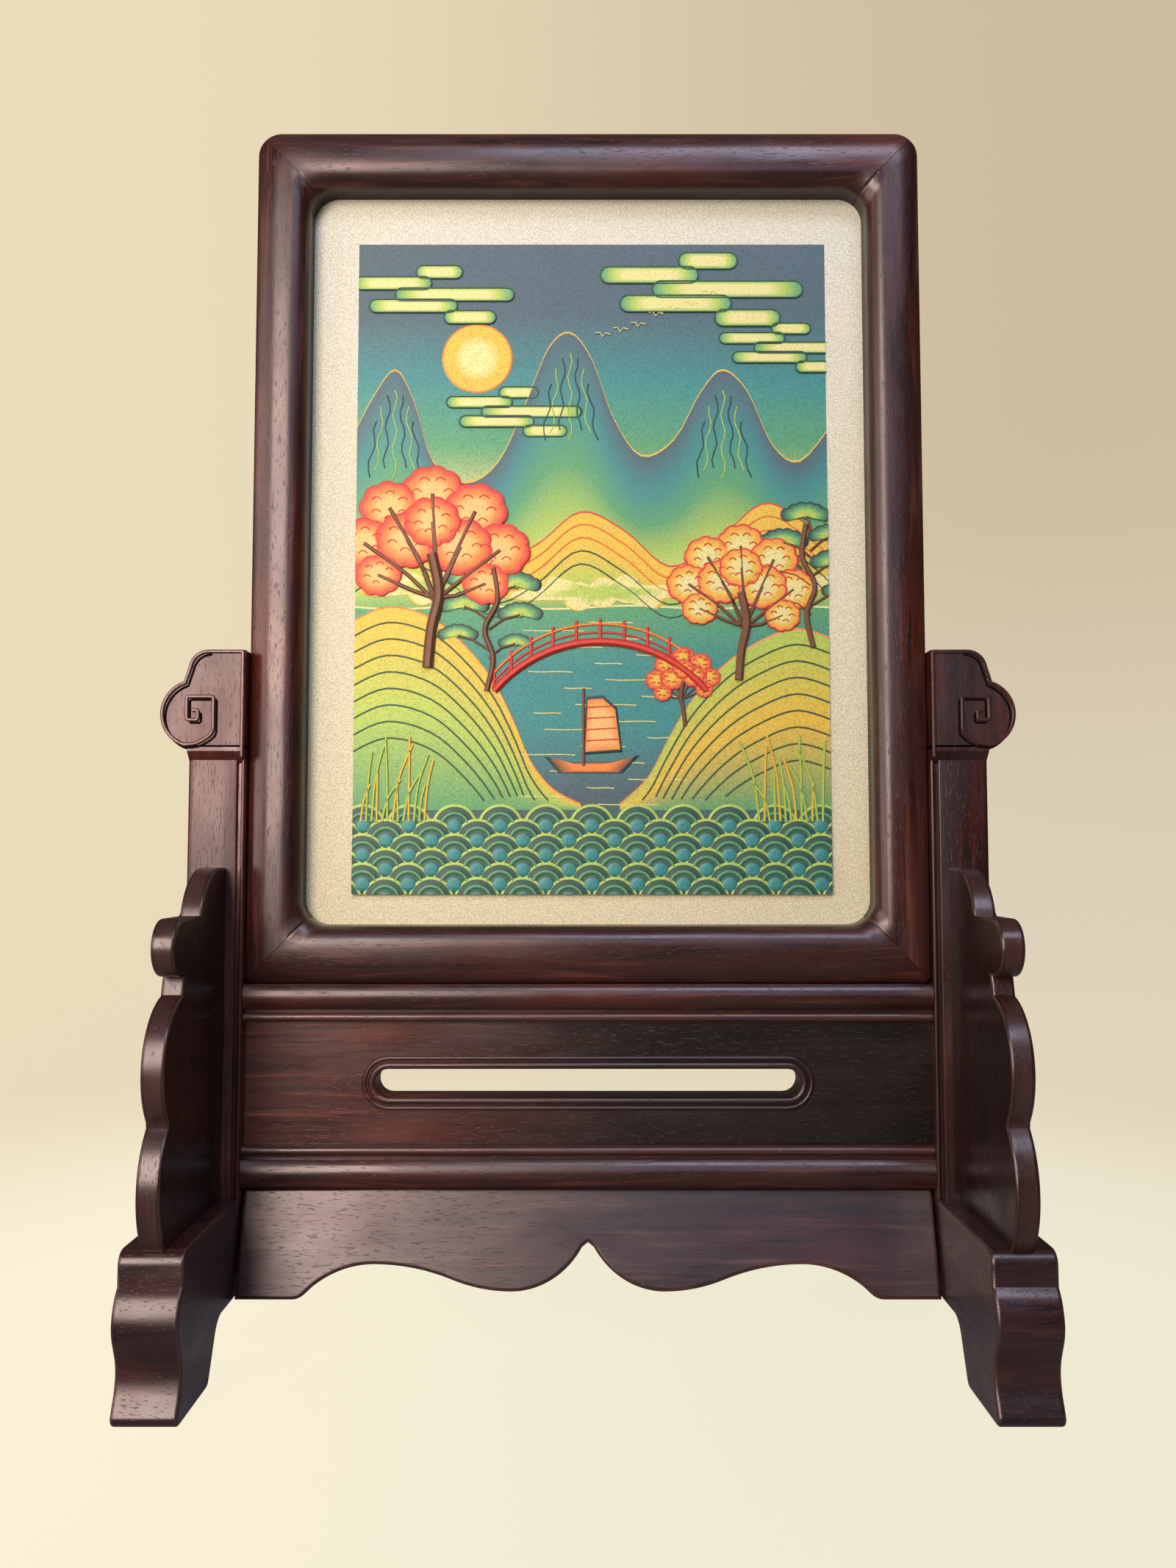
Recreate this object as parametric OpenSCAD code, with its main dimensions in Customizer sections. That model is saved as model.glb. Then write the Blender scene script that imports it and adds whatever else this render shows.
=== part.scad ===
// Chinese table screen: a framed picture plate that lifts out of a carved hardwood stand.
// X runs across the screen, -Y is the front and +Z is up. The origin is on the table, midway
// between the two feet.

/* [Screen frame] */
// Outer width of the frame
screen_w = 239; // [220:1:260]
// Outer height of the frame
screen_h = 306.8; // [280:0.2:340]
// Width of the moulding across its face
moulding_w = 20; // [18:0.5:24]
// Thickness of the frame, from crest to back
frame_t = 20; // [19:0.5:24]
// Radius of the rounded outer edge, which ends at the crest
crest_r = 8; // [6:0.5:9]
// How far the face falls back from the crest to the opening
fall_drop = 5.4; // [4:0.1:6]
// Radius of the frame's outer corners
frame_corner_r = 7; // [4:0.5:8]
// Radius of the opening's corners
opening_corner_r = 7; // [4:0.5:10]
// Wall left outside the end of a hidden corner tenon
frame_tenon_wall = 4; // [3:0.5:6]
// Distance of a corner tenon from the frame's outer edge
frame_tenon_inset = 7; // [5:0.5:8]
// Width of a corner tenon
frame_tenon_w = 7; // [5:0.5:8]
// Thickness of a corner tenon
frame_tenon_t = 6; // [4:0.5:7]
// Wood between a corner tenon and the backing board
frame_tenon_cover = 1.5; // [1:0.1:2]

/* [Picture and back] */
// Depth of the plate's face behind the edge of the opening
plate_setback = 7; // [5:0.5:8]
// Thickness of the metal picture plate
plate_t = 2; // [1:0.1:2.5]
// Overlap of the frame over the plate
plate_lap = 5; // [3:0.5:6]
// Thickness of the backing board
board_t = 4.5; // [3.5:0.1:5]
// Width of the ledge that the backing board is screwed to
ledge_w = 4; // [3.5:0.1:4.5]
// Diameter of a back screw's shank
screw_d = 2.4; // [2:0.1:2.6]
// Diameter of a back screw's head
screw_head_d = 4.6; // [4:0.1:5]
// Length of a back screw
screw_l = 9; // [8:0.5:10]
// Number of back screws along each stile
stile_screws = 3; // [2:1:5]
// Number of back screws along the top and along the bottom
rail_screws = 2; // [1:1:4]
// Distance of the end screws from the frame's corners
screw_end = 50; // [40:1:60]

/* [Posts] */
// Width of a post, seen from the front
post_w = 19.6; // [18:0.2:24]
// Thickness of a post, front to back
post_t = 22; // [20:0.5:26]
// Height of the posts above the feet
post_h = 189.5; // [173:0.5:213]
// Width of the raised lip along a post's inner edge
lip_w = 1.6; // [1:0.1:2.5]
// Width and depth of the quirk beside a lip or a bead
quirk = 1.2; // [0.8:0.1:1.6]
// Width of the tenon under a post
post_tenon_w = 9; // [7:0.5:10]
// Thickness of the tenon under a post
post_tenon_t = 14; // [10:0.5:16]
// Length of the tenon under a post
post_tenon_l = 22; // [15:0.5:25]

/* [Scroll heads] */
// Height of a scroll head
head_h = 34.5; // [32:0.5:40]
// How far a head stands proud of its post, front and back
head_proud = 4; // [3:0.5:6]
// Radius of a head's upper lobe
lobe_r = 7; // [5:0.5:9]
// Radius of a head's scroll
scroll_r = 12; // [11:0.5:13]
// How far the scroll stands out beside the post
scroll_out = 9.6; // [7:0.2:11]
// Width of the carved line
line_w = 1.6; // [1.2:0.1:2]
// Height of the carved line above its ground
line_h = 1; // [0.6:0.1:1.5]
// Space between the scroll's rim and the square spiral's outer bar
fret_margin = 4.6; // [4:0.1:5.5]

/* [Feet] */
// Height of the feet
foot_h = 50; // [48:0.5:55]
// How far a foot's outer side stands proud of its post
foot_side = 0.4; // [0.2:0.1:3]
// Distance from the middle of a foot to its front, at the bulge
foot_reach = 74.2; // [72:0.2:84]
// Radius of the rounded top edge at a foot's end
nose_r = 4.6; // [3:0.2:6]
// How far the upright face above the bulge stays behind the bulge
face_back = 4.5; // [3.5:0.5:6]
// Height at which the upright face meets the bulge
face_z = 39.5; // [38:0.5:41]
// Height of the bulge's middle
bulge_z = 28.5; // [27:0.5:30]
// Radius of the hollow above the toe
hollow_r = 24; // [20:1:28]
// Height of the hollow's middle
hollow_z = 13; // [11:0.5:15]
// How far the hollow stays behind the bulge
hollow_back = 4.4; // [3.6:0.2:5]
// How far the toe stays behind the bulge
toe_back = 0.6; // [0.2:0.1:1.5]
// Half of the span of the arch under a foot, at the table
arch_half = 42.6; // [38:0.2:50]
// Height of the arch under a foot
arch_h = 17.7; // [12:0.1:18]
// Radius of the arch's shoulders
arch_r = 8; // [5:0.5:10]
// Lean of the arch's sides away from upright, in degrees
arch_lean = 28; // [15:1:35]

/* [Standing spandrels] */
// Thickness of a spandrel
spandrel_t = 7.4; // [6:0.2:10]
// Height of a spandrel above the foot
spandrel_h = 113.5; // [109:0.5:119]
// Radius of the finger at a spandrel's top
finger_r = 21.5; // [18:0.5:24]
// Distance of the finger's middle from the post's middle
finger_f = 17.5; // [16:0.5:20]
// Radius of the round end under the finger
knob_r = 9; // [8:0.5:10]
// Distance of the round end's middle from the post's middle
knob_f = 56.8; // [54:0.2:60]
// Height of the round end's middle above the foot
knob_h = 88.8; // [86:0.2:91]
// Radius of the middle lobe
middle_r = 23; // [21:0.5:24]
// Distance of the middle lobe's centre from the post's middle
middle_f = 49.4; // [48:0.2:52]
// Height of the middle lobe's centre above the foot
middle_h = 51.8; // [50:0.2:54]
// Radius of the lower lobe
lower_r = 27; // [25:0.5:28]
// Distance of the lower lobe's centre from the post's middle
lower_f = 46; // [45:0.5:48]
// Height of the lower lobe's centre above the foot
lower_h = 17; // [15:0.5:19]
// How far the upper notch cuts in behind the middle lobe
upper_notch = 18.5; // [16:0.5:20]
// How far the lower notch cuts in behind the middle lobe
lower_notch = 7.5; // [6:0.5:9]
// Space between the end of the tenon under a spandrel and the foot's front
spandrel_tenon_back = 14; // [10:0.5:20]

/* [Rails and panel] */
// Height of the upper rail
upper_rail_h = 13.5; // [12.5:0.5:18]
// Height of the lower rail's underside above the feet
rail_lift = 3; // [1:0.5:5]
// Height of the lower rail
lower_rail_h = 14.5; // [12.5:0.5:18]
// How far a rail's rounded face swells
rail_crown = 2; // [1:0.1:2.5]
// Radius of the bead along a rail
bead_r = 1.6; // [1.2:0.1:2]
// Narrow flat between the bead and the panel
bead_flat = 0.3; // [0.2:0.1:0.6]
// Length of a rail's tenons
rail_tenon_l = 10; // [6:0.5:12]
// Thickness of a rail's tenons
rail_tenon_t = 8; // [6:0.5:9]
// Height of a rail's tenons
rail_tenon_h = 7; // [5:0.5:8]
// Height of the shoulder between a rail's outer edge and its tenons
rail_shoulder = 1.5; // [1:0.1:2]
// Height of the panel between the rails
panel_h = 42; // [36:0.5:55]
// Thickness of the panel
panel_t = 12; // [9:0.5:13]
// Depth of the panel's tongues in the rails
panel_tongue_d = 2.6; // [2:0.1:3]
// Length of the slot in the panel
slot_l = 148.6; // [110:0.2:170]
// Height of the slot in the panel
slot_h = 9.7; // [7:0.1:14]
// Width of each of the two raised lines round the slot
rim_w = 1.6; // [1:0.1:2]
// Groove between the two raised lines
rim_gap = 0.7; // [0.5:0.1:1.2]
// Height of the raised lines above the panel
rim_h = 1.2; // [0.6:0.1:1.6]

/* [Aprons] */
// Thickness of an apron, measured level
apron_t = 5.8; // [4.5:0.1:6.5]
// Clear space between the two aprons along their top edges
apron_space = 0.4; // [0.3:0.1:3]
// How far an apron's lower edge stands out beyond its top
apron_lean = 10.5; // [6:0.5:14]
// Height of an apron's ends above the table
apron_z = 18.2; // [18:0.1:22]
// Shoulder above and below the tenon at an apron's end
apron_shoulder = 6; // [4:0.5:8]
// Distance of an arch's crown from the middle
crown_x = 73; // [68:0.5:78]
// Height of an arch's crown above the apron's ends
crown_h = 12.3; // [9:0.1:14]
// Radius of an arch on its outer side
arch_outer_r = 34; // [31:0.5:38]
// Radius of an arch on its inner side
arch_inner_r = 66; // [60:0.5:72]
// Distance of a hanging lobe's lowest point from the middle
hang_x = 26; // [24:0.5:27]
// Height of a hanging lobe's lowest point above the apron's ends
hang_h = 2.4; // [1:0.1:4]
// Radius of a hanging lobe on the side of the middle cusp
cusp_r = 28; // [28:0.5:32]

/* [Fits] */
// Thickness of the tongues in the posts' grooves
tongue_t = 5; // [4:0.5:5]
// Depth of the tongues in the posts' grooves
tongue_d = 4; // [3:0.5:5]
// How far a stile's tongue stops short of its post's top
tongue_stop = 5; // [3:0.5:12]
// Running clearance between the screen and the stand
slide_gap = 0.4; // [0.3:0.05:0.6]
// Clearance under the screen where it rests on the upper rail
rest_gap = 0.2; // [0.1:0.05:0.3]
// Clearance on each side of a glued or screwed joint
joint_gap = 0.1; // [0.05:0.05:0.2]
// Depth of the shallow housings for spandrels and aprons
housing_d = 3; // [2:0.5:3.5]

/* [Hidden] */
$fn = 96;

rosewood = "#3b2320";
champagne = "#cdbb96";
plain_board = "#8a6a48";
steel = "#a9a9ad";

// How far a cutting or joining shape reaches past the face that it opens or meets
over = 1;

// Levels, from the table upwards
lower_rail_z = foot_h + rail_lift;
panel_z = lower_rail_z + lower_rail_h;
rail_top = panel_z + panel_h + upper_rail_h;
screen_z = rail_top + rest_gap;
post_top = foot_h + post_h;
head_z = post_top - head_h;

// Places across the screen, and the depth of the posts' grooves
post_x = screen_w / 2 + slide_gap;
groove_d = tongue_d + slide_gap;
foot_w = post_w + foot_side;
spandrel_x = post_x + (post_w - spandrel_t) / 2;
scroll_u = post_w + scroll_out - scroll_r;

// Depths of the frame, with its crest flush with the posts' faces
crest_y = -post_t / 2;
fall_w = moulding_w - crest_r;
fall_r = (fall_w * fall_w + fall_drop * fall_drop) / (2 * fall_drop);
edge_y = crest_y + fall_drop;
plate_y = edge_y + plate_setback;
board_y = plate_y + plate_t;
board_lap = plate_lap + ledge_w;
frame_tenon_y = board_y - frame_tenon_cover - frame_tenon_t;

// A foot's end: places forwards from the foot's middle, and the bulge that starts at the upright face
face_f = foot_reach - face_back;
nose_f = face_f - nose_r;
swell_h = face_z - bulge_z;
bulge_r = (face_back * face_back + swell_h * swell_h) / (2 * face_back);
bulge_f = foot_reach - bulge_r;
hollow_f = foot_reach - hollow_back + hollow_r;
toe_f = foot_reach - toe_back;
arch_f = arch_half - (arch_r + (arch_h - arch_r) * sin(arch_lean)) / cos(arch_lean);

// Rails: the zone of the bead with its quirk, and the core behind the bead
bead_zone = 2 * bead_r + quirk + bead_flat;
bead_core = post_t / 2 - rail_crown - bead_r;

// Aprons: the face's place at the top, and the meeting points of the tangent arcs below
apron_top_y = apron_space / 2 + apron_t;
apron_top_z = lower_rail_z - joint_gap;
hang_run = crown_x - hang_x;
hang_drop = crown_h - hang_h;
hang_r = (hang_run * hang_run + hang_drop * hang_drop) / (2 * hang_drop) - arch_inner_r;
bend_share = arch_inner_r / (arch_inner_r + hang_r);
bend_x = crown_x - hang_run * bend_share;
bend_h = crown_h - hang_drop * bend_share;
cusp_h = hang_h + cusp_r - sqrt(cusp_r * cusp_r - hang_x * hang_x);

// Evenly spaced places about zero over a run, both ends included
function spread(run, count) = [for (i = [0 : count - 1]) count == 1 ? 0 : run * (i / (count - 1) - 0.5)];

// A shape drawn in Y and Z, drawn out along X on both sides of the middle
module across(half) {
    translate([-half, 0, 0]) rotate([90, 0, 90]) linear_extrude(2 * half) children();
}

// A shape drawn in Y and Z, drawn out along X from one place to another
module along_x(from, to) {
    translate([from, 0, 0]) rotate([90, 0, 90]) linear_extrude(to - from) children();
}

// A shape drawn in X and Z, drawn out along Y from one place to another
module along_y(from, to) {
    translate([0, to, 0]) rotate([90, 0, 0]) linear_extrude(to - from) children();
}

// A shape and its mirror image, front and back or left and right
module both(axis) {
    children();
    mirror(axis) children();
}

// A square corner with a round bite taken out of it
module bitten_corner(r) {
    difference() {
        translate([-over, -over]) square(r + over);
        translate([r, r]) circle(r);
    }
}

// A long shape with half-round ends
module stadium(length, height) {
    square([length - height, height], center = true);
    for (side = [-1, 1]) translate([side * (length - height) / 2, 0]) circle(height / 2);
}

// Section of the frame's moulding: inwards from its outer edge, and front to back
module moulding_section() {
    difference() {
        translate([0, crest_y]) square([moulding_w, frame_t]);
        translate([0, crest_y]) bitten_corner(crest_r);
        translate([crest_r, crest_y]) difference() {
            translate([0, -over]) square([fall_w + over, fall_drop + over]);
            translate([0, fall_r]) circle(fall_r);
        }
        translate([moulding_w - plate_lap, plate_y]) square([plate_lap + over, frame_t]);
        translate([moulding_w - board_lap, board_y]) square([board_lap + over, frame_t]);
    }
}

// Outline of a frame bar with mitred ends: inwards from its outer edge, and along the bar
module mitred_outline(length) {
    reach = moulding_w + opening_corner_r;
    difference() {
        polygon([[0, 0], [reach, reach], [reach, length - reach], [0, length]]);
        bitten_corner(frame_corner_r);
        translate([0, length]) mirror([0, 1]) bitten_corner(frame_corner_r);
    }
}

// The webs that round the opening's corners at the two ends of a bar
module opening_webs(length) {
    along_y(edge_y, plate_y) {
        translate([moulding_w, moulding_w]) bitten_corner(opening_corner_r);
        translate([moulding_w, length - moulding_w]) mirror([0, 1]) bitten_corner(opening_corner_r);
    }
}

// A frame bar standing along Z, with its outer edge on the Z axis
module frame_bar(length) {
    intersection() {
        union() {
            linear_extrude(length) moulding_section();
            opening_webs(length);
        }
        along_y(crest_y - over, crest_y + frame_t + over) mitred_outline(length);
    }
}

// A bar laid along X instead of standing along Z
module laid() {
    mirror([1, 0, -1]) children();
}

// A shape at the near end of a standing bar, and its mirror image at the far end
module both_ends(length) {
    children();
    translate([0, 0, length]) mirror([0, 0, 1]) children();
}

// Hidden tenon at the near end of a standing bar, or its mortise with a gap
module frame_tenon(gap = 0) {
    corner = [frame_tenon_inset, frame_tenon_y, frame_tenon_wall];
    size = [frame_tenon_w, frame_tenon_t, moulding_w - frame_tenon_wall];
    translate(corner - gap * [1, 1, 1]) cube(size + 2 * gap * [1, 1, 1]);
}

// One back screw pointing forwards, with its head flush with the board, or its hole with a gap
module back_screw(gap = 0) {
    cone_h = (screw_head_d - screw_d) / 2;
    rotate([90, 0, 0]) {
        cylinder(h = screw_l + gap, d = screw_d + 2 * gap);
        cylinder(h = cone_h, d1 = screw_head_d + 2 * gap, d2 = screw_d + 2 * gap);
        if (gap > 0) translate([0, 0, -over]) cylinder(h = over, d = screw_head_d + 2 * gap);
    }
}

// All the back screws in the ledge round the opening, or their holes with a gap
module screw_places(gap = 0) {
    ledge_in = moulding_w - plate_lap - ledge_w / 2;
    translate([0, board_y + board_t, screen_z + screen_h / 2]) for (side = [-1, 1]) {
        for (z = spread(screen_h - 2 * screw_end, stile_screws))
            translate([side * (screen_w / 2 - ledge_in), 0, z]) back_screw(gap);
        for (x = spread(screen_w - 2 * screw_end, rail_screws))
            translate([x, 0, side * (screen_h / 2 - ledge_in)]) back_screw(gap);
    }
}

// Left stile: a mitred bar with mortises, and with the tongue that runs in the post's groove
module frame_stile() {
    tongue_l = post_top - tongue_stop - screen_z - frame_corner_r;
    difference() {
        translate([-screen_w / 2, 0, screen_z]) difference() {
            union() {
                frame_bar(screen_h);
                translate([-tongue_d, -tongue_t / 2, frame_corner_r])
                    cube([tongue_d + frame_tenon_wall / 2, tongue_t, tongue_l]);
            }
            both_ends(screen_h) laid() frame_tenon(joint_gap);
        }
        screw_places(joint_gap);
    }
}

// Bottom rail of the frame: a mitred bar with a hidden tenon at each end
module frame_rail() {
    difference() {
        translate([-screen_w / 2, 0, screen_z]) laid() {
            frame_bar(screen_w);
            both_ends(screen_w) frame_tenon();
        }
        screw_places(joint_gap);
    }
}

// A flat sheet behind the opening that laps over its edges
module opening_sheet(lap, y, thickness) {
    width = screen_w - 2 * (moulding_w - lap + joint_gap);
    height = screen_h - 2 * (moulding_w - lap + joint_gap);
    translate([-width / 2, y, screen_z + (screen_h - height) / 2]) cube([width, thickness, height]);
}

// Outline of a scroll head: outwards from the post's inner face, and up from the head's foot
module head_outline(inset = 0) {
    translate([inset, 0]) square([post_w - 2 * inset, head_h - lobe_r]);
    translate([inset, 0]) square([post_w - lobe_r - inset, head_h - inset]);
    translate([post_w - lobe_r, head_h - lobe_r]) circle(lobe_r - inset);
    translate([scroll_u, scroll_r]) circle(scroll_r - inset);
}

// The carved square spiral about the scroll's middle, from the rim to the eye
module fret() {
    run = scroll_r - fret_margin;
    turns = run * [[-1, -1], [-1, 0.68], [0.3, 0.68], [0.3, -0.43], [-0.3, -0.43], [-0.3, 0.08]];
    for (i = [1 : len(turns) - 1]) {
        low = [min(turns[i - 1].x, turns[i].x), min(turns[i - 1].y, turns[i].y)];
        high = [max(turns[i - 1].x, turns[i].x), max(turns[i - 1].y, turns[i].y)];
        translate(low - [line_w, line_w] / 2) square(high - low + [line_w, line_w]);
    }
}

// The ground inside a head's raised rim, which runs out at the head's foot beside the spiral
module head_ground() {
    open_w = scroll_u - scroll_r + fret_margin - line_w;
    intersection() {
        head_outline(line_w);
        translate([0, line_w]) square([post_w + scroll_out, head_h]);
    }
    translate([line_w, -over]) square([open_w, line_w + 2 * over]);
}

// The raised line: round the head's rim, then in along the square spiral
module head_lines() {
    difference() {
        head_outline();
        head_ground();
    }
    intersection() {
        translate([scroll_u, scroll_r]) fret();
        head_outline();
    }
}

// A scroll head carved front and back, with the slope under it
module scroll_head() {
    proud = post_t / 2 + head_proud;
    ground = proud - line_h;
    slope = [[0, -head_proud], [post_t / 2, -head_proud], [ground, -line_h], [ground, over], [0, over]];
    translate([post_x, 0, head_z]) {
        along_y(-ground, ground) head_outline();
        both([0, 1, 0]) along_y(-proud, -ground + over) head_lines();
        along_x(0, post_w) both([1, 0]) polygon(slope);
    }
}

// Tenon under the right post, or its mortise with a gap
module post_tenon(gap = 0) {
    corner = [post_x + (post_w - post_tenon_w) / 2, -post_tenon_t / 2, foot_h - post_tenon_l];
    size = [post_tenon_w, post_tenon_t, post_tenon_l + over];
    translate(corner - gap * [1, 1, 1]) cube(size + gap * [2, 2, 1]);
}

// Tenons at both ends of a rail that lies on the table, or their mortises with a gap
module rail_tenons(gap = 0) {
    across(post_x + rail_tenon_l + gap) translate([-rail_tenon_t / 2 - gap, rail_shoulder - gap])
        square([rail_tenon_t + 2 * gap, rail_tenon_h + 2 * gap]);
}

// What lies on the table, lifted to be the lower rail, or turned over to be the upper rail
module at_lower_rail() {
    translate([0, 0, lower_rail_z]) children();
}
module at_upper_rail() {
    translate([0, 0, rail_top]) mirror([0, 0, 1]) children();
}

// Right post: shaft, scroll head and tenon, with its groove, mortises, housings and quirks
module post() {
    difference() {
        union() {
            translate([post_x, -post_t / 2, foot_h]) cube([post_w, post_t, post_h - head_h + over]);
            scroll_head();
            post_tenon();
        }
        translate([post_x - over, -tongue_t / 2 - slide_gap, foot_h])
            cube([groove_d + over, tongue_t + 2 * slide_gap, post_h + over]);
        at_lower_rail() rail_tenons(joint_gap);
        at_upper_rail() rail_tenons(joint_gap);
        both([0, 1, 0]) {
            spandrel(joint_gap);
            translate([post_x + lip_w, -post_t / 2 - over, foot_h])
                cube([quirk, quirk + over, post_h - head_h - head_proud]);
        }
    }
}

// Half of a foot seen from its side, forwards from its middle and up from the table
module foot_half() {
    difference() {
        union() {
            square([face_f, foot_h - nose_r]);
            square([nose_f, foot_h]);
            translate([nose_f, foot_h - nose_r]) circle(nose_r);
            translate([bulge_f, bulge_z]) circle(bulge_r);
            difference() {
                square([toe_f, bulge_z - bulge_r / 2]);
                translate([hollow_f, hollow_z]) circle(hollow_r);
            }
        }
        foot_arch();
    }
}

// The open arch under a foot
module foot_arch() {
    shoulder = [arch_f + arch_r * cos(arch_lean), arch_h - arch_r + arch_r * sin(arch_lean)];
    toe = arch_half + over * tan(arch_lean);
    spring = arch_h - arch_r;
    polygon([[-over, -over], [toe, -over], shoulder, [arch_f, spring], [arch_f, arch_h], [-over, arch_h]]);
    translate([arch_f, arch_h - arch_r]) circle(arch_r);
}

// Right foot, with its mortise and the housings for spandrels and aprons
module foot() {
    difference() {
        along_x(post_x, post_x + foot_w) both([1, 0]) foot_half();
        post_tenon(joint_gap);
        both([0, 1, 0]) {
            spandrel(joint_gap);
            apron_tenons(joint_gap);
        }
    }
}

// Outline of a spandrel: forwards from the post's middle, and up from the foot
module spandrel_outline() {
    notch_top = knob_h - knob_r;
    body = [
        [0, 0], [lower_f + lower_r / 2, 0], [middle_f + middle_r - lower_notch, middle_h - middle_r / 2],
        [middle_f + middle_r - upper_notch, notch_top], [0, notch_top]
    ];
    polygon(body);
    square([knob_f, knob_h + knob_r]);
    square([finger_f, spandrel_h]);
    translate([finger_f, spandrel_h - finger_r]) circle(finger_r);
    translate([knob_f, knob_h]) circle(knob_r);
    translate([middle_f, middle_h]) circle(middle_r);
    translate([lower_f, lower_h]) circle(lower_r);
}

// Front right spandrel, let into its post and its foot, or the housings for it with a gap
module spandrel(gap = 0) {
    back = post_t / 2 - housing_d + joint_gap;
    tenon_start = post_t / 2 + housing_d;
    tenon_l = foot_reach - spandrel_tenon_back - tenon_start;
    mirror([0, 1, 0]) along_x(spandrel_x - gap, spandrel_x + spandrel_t + gap) translate([0, foot_h]) {
        intersection() {
            spandrel_outline();
            translate([back - gap, 0]) square([foot_reach, spandrel_h]);
        }
        translate([tenon_start - gap, -housing_d - gap])
            square([tenon_l + 2 * gap, housing_d + gap + over]);
    }
}

// Section of a rail that lies on the table: rounded faces below, beads and the panel's groove above
module rail_section(height) {
    main_h = height - bead_zone;
    face_r = (main_h * main_h / 4 + rail_crown * rail_crown) / (2 * rail_crown);
    difference() {
        union() {
            translate([-bead_core, 0]) square([2 * bead_core, height]);
            both([1, 0]) {
                intersection() {
                    translate([post_t / 2 - face_r, main_h / 2]) circle(face_r);
                    square([post_t / 2, main_h]);
                }
                translate([bead_core, height - bead_flat - bead_r]) circle(bead_r);
            }
        }
        translate([-tongue_t / 2 - joint_gap, height - panel_tongue_d - joint_gap])
            square([tongue_t + 2 * joint_gap, panel_tongue_d + joint_gap + over]);
    }
}

module rail(height) {
    across(post_x - joint_gap) rail_section(height);
    rail_tenons();
}

// Section of an apron, which leans outwards towards its lower edge
module apron_section(gap = 0) {
    face = apron_top_y + gap;
    back = apron_top_y - apron_t - gap;
    polygon([
        [-face, apron_top_z], [-back, apron_top_z],
        [-back - apron_lean, apron_z], [-face - apron_lean, apron_z]
    ]);
}

// Half of the open shape under an apron, out from the middle and up from the apron's ends
module apron_arches() {
    difference() {
        translate([0, -over]) square([hang_x, cusp_h + over]);
        translate([hang_x, hang_h + cusp_r]) circle(cusp_r);
    }
    difference() {
        translate([hang_x, -over]) square([bend_x - hang_x, bend_h + over]);
        translate([hang_x, hang_h + hang_r]) circle(hang_r);
    }
    intersection() {
        translate([bend_x, -over]) square([crown_x - bend_x, crown_h + over]);
        translate([crown_x, crown_h - arch_inner_r]) circle(arch_inner_r);
    }
    intersection() {
        translate([crown_x, -over]) square([arch_outer_r, crown_h + over]);
        translate([crown_x, crown_h - arch_outer_r]) circle(arch_outer_r);
    }
}

// Tenons at both ends of the front apron, or their housings with a gap
module apron_tenons(gap = 0) {
    low = apron_z + apron_shoulder - gap;
    high = apron_top_z - apron_shoulder + gap;
    intersection() {
        across(post_x + housing_d + gap) apron_section(gap);
        across(post_x + housing_d + gap) translate([-foot_reach, low]) square([2 * foot_reach, high - low]);
    }
}

// Front apron: a leaning board with a scalloped lower edge
module apron() {
    difference() {
        across(post_x - joint_gap) apron_section();
        translate([0, 0, apron_z]) along_y(-foot_reach, 0) both([1, 0]) apron_arches();
    }
    difference() {
        apron_tenons();
        across(post_x - joint_gap - over) translate([-foot_reach, 0]) square([2 * foot_reach, foot_h]);
    }
}

// The raised lines round the slot on the panel's front face
module slot_rim() {
    inner = 2 * rim_w;
    outer_in = inner + 2 * rim_gap;
    outer = outer_in + 2 * rim_w;
    along_y(-panel_t / 2 - rim_h, -panel_t / 2 + over) {
        stadium(slot_l + inner, slot_h + inner);
        difference() {
            stadium(slot_l + outer, slot_h + outer);
            stadium(slot_l + outer_in, slot_h + outer_in);
        }
    }
}

module left_foot() {
    color(rosewood) mirror([1, 0, 0]) foot();
}

module right_foot() {
    color(rosewood) foot();
}

module left_post() {
    color(rosewood) mirror([1, 0, 0]) post();
}

module right_post() {
    color(rosewood) post();
}

module lower_rail() {
    color(rosewood) at_lower_rail() rail(lower_rail_h);
}

module upper_rail() {
    color(rosewood) at_upper_rail() rail(upper_rail_h);
}

// The panel between the rails, tongued all round, with its long slot
module slotted_panel() {
    half_l = post_x - joint_gap;
    color(rosewood) translate([0, 0, panel_z + panel_h / 2]) difference() {
        union() {
            translate([-half_l, -panel_t / 2, -panel_h / 2 + joint_gap])
                cube([2 * half_l, panel_t, panel_h - 2 * joint_gap]);
            translate([-half_l, -tongue_t / 2, -panel_h / 2 - panel_tongue_d])
                cube([2 * half_l, tongue_t, panel_h + 2 * panel_tongue_d]);
            translate([-post_x - tongue_d, -tongue_t / 2, -panel_h / 2 + joint_gap])
                cube([2 * (post_x + tongue_d), tongue_t, panel_h - 2 * joint_gap]);
            both([0, 1, 0]) slot_rim();
        }
        along_y(-panel_t, panel_t) stadium(slot_l, slot_h);
    }
}

module front_apron() {
    color(rosewood) apron();
}

module rear_apron() {
    color(rosewood) mirror([0, 1, 0]) apron();
}

module front_left_spandrel() {
    color(rosewood) mirror([1, 0, 0]) spandrel();
}

module front_right_spandrel() {
    color(rosewood) spandrel();
}

module rear_left_spandrel() {
    color(rosewood) mirror([1, 0, 0]) mirror([0, 1, 0]) spandrel();
}

module rear_right_spandrel() {
    color(rosewood) mirror([0, 1, 0]) spandrel();
}

module frame_left_stile() {
    color(rosewood) frame_stile();
}

module frame_right_stile() {
    color(rosewood) mirror([1, 0, 0]) frame_stile();
}

module frame_bottom_rail() {
    color(rosewood) frame_rail();
}

module frame_top_rail() {
    color(rosewood) translate([0, 0, 2 * screen_z + screen_h]) mirror([0, 0, 1]) frame_rail();
}

module picture_plate() {
    color(champagne) opening_sheet(plate_lap, plate_y, plate_t);
}

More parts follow.
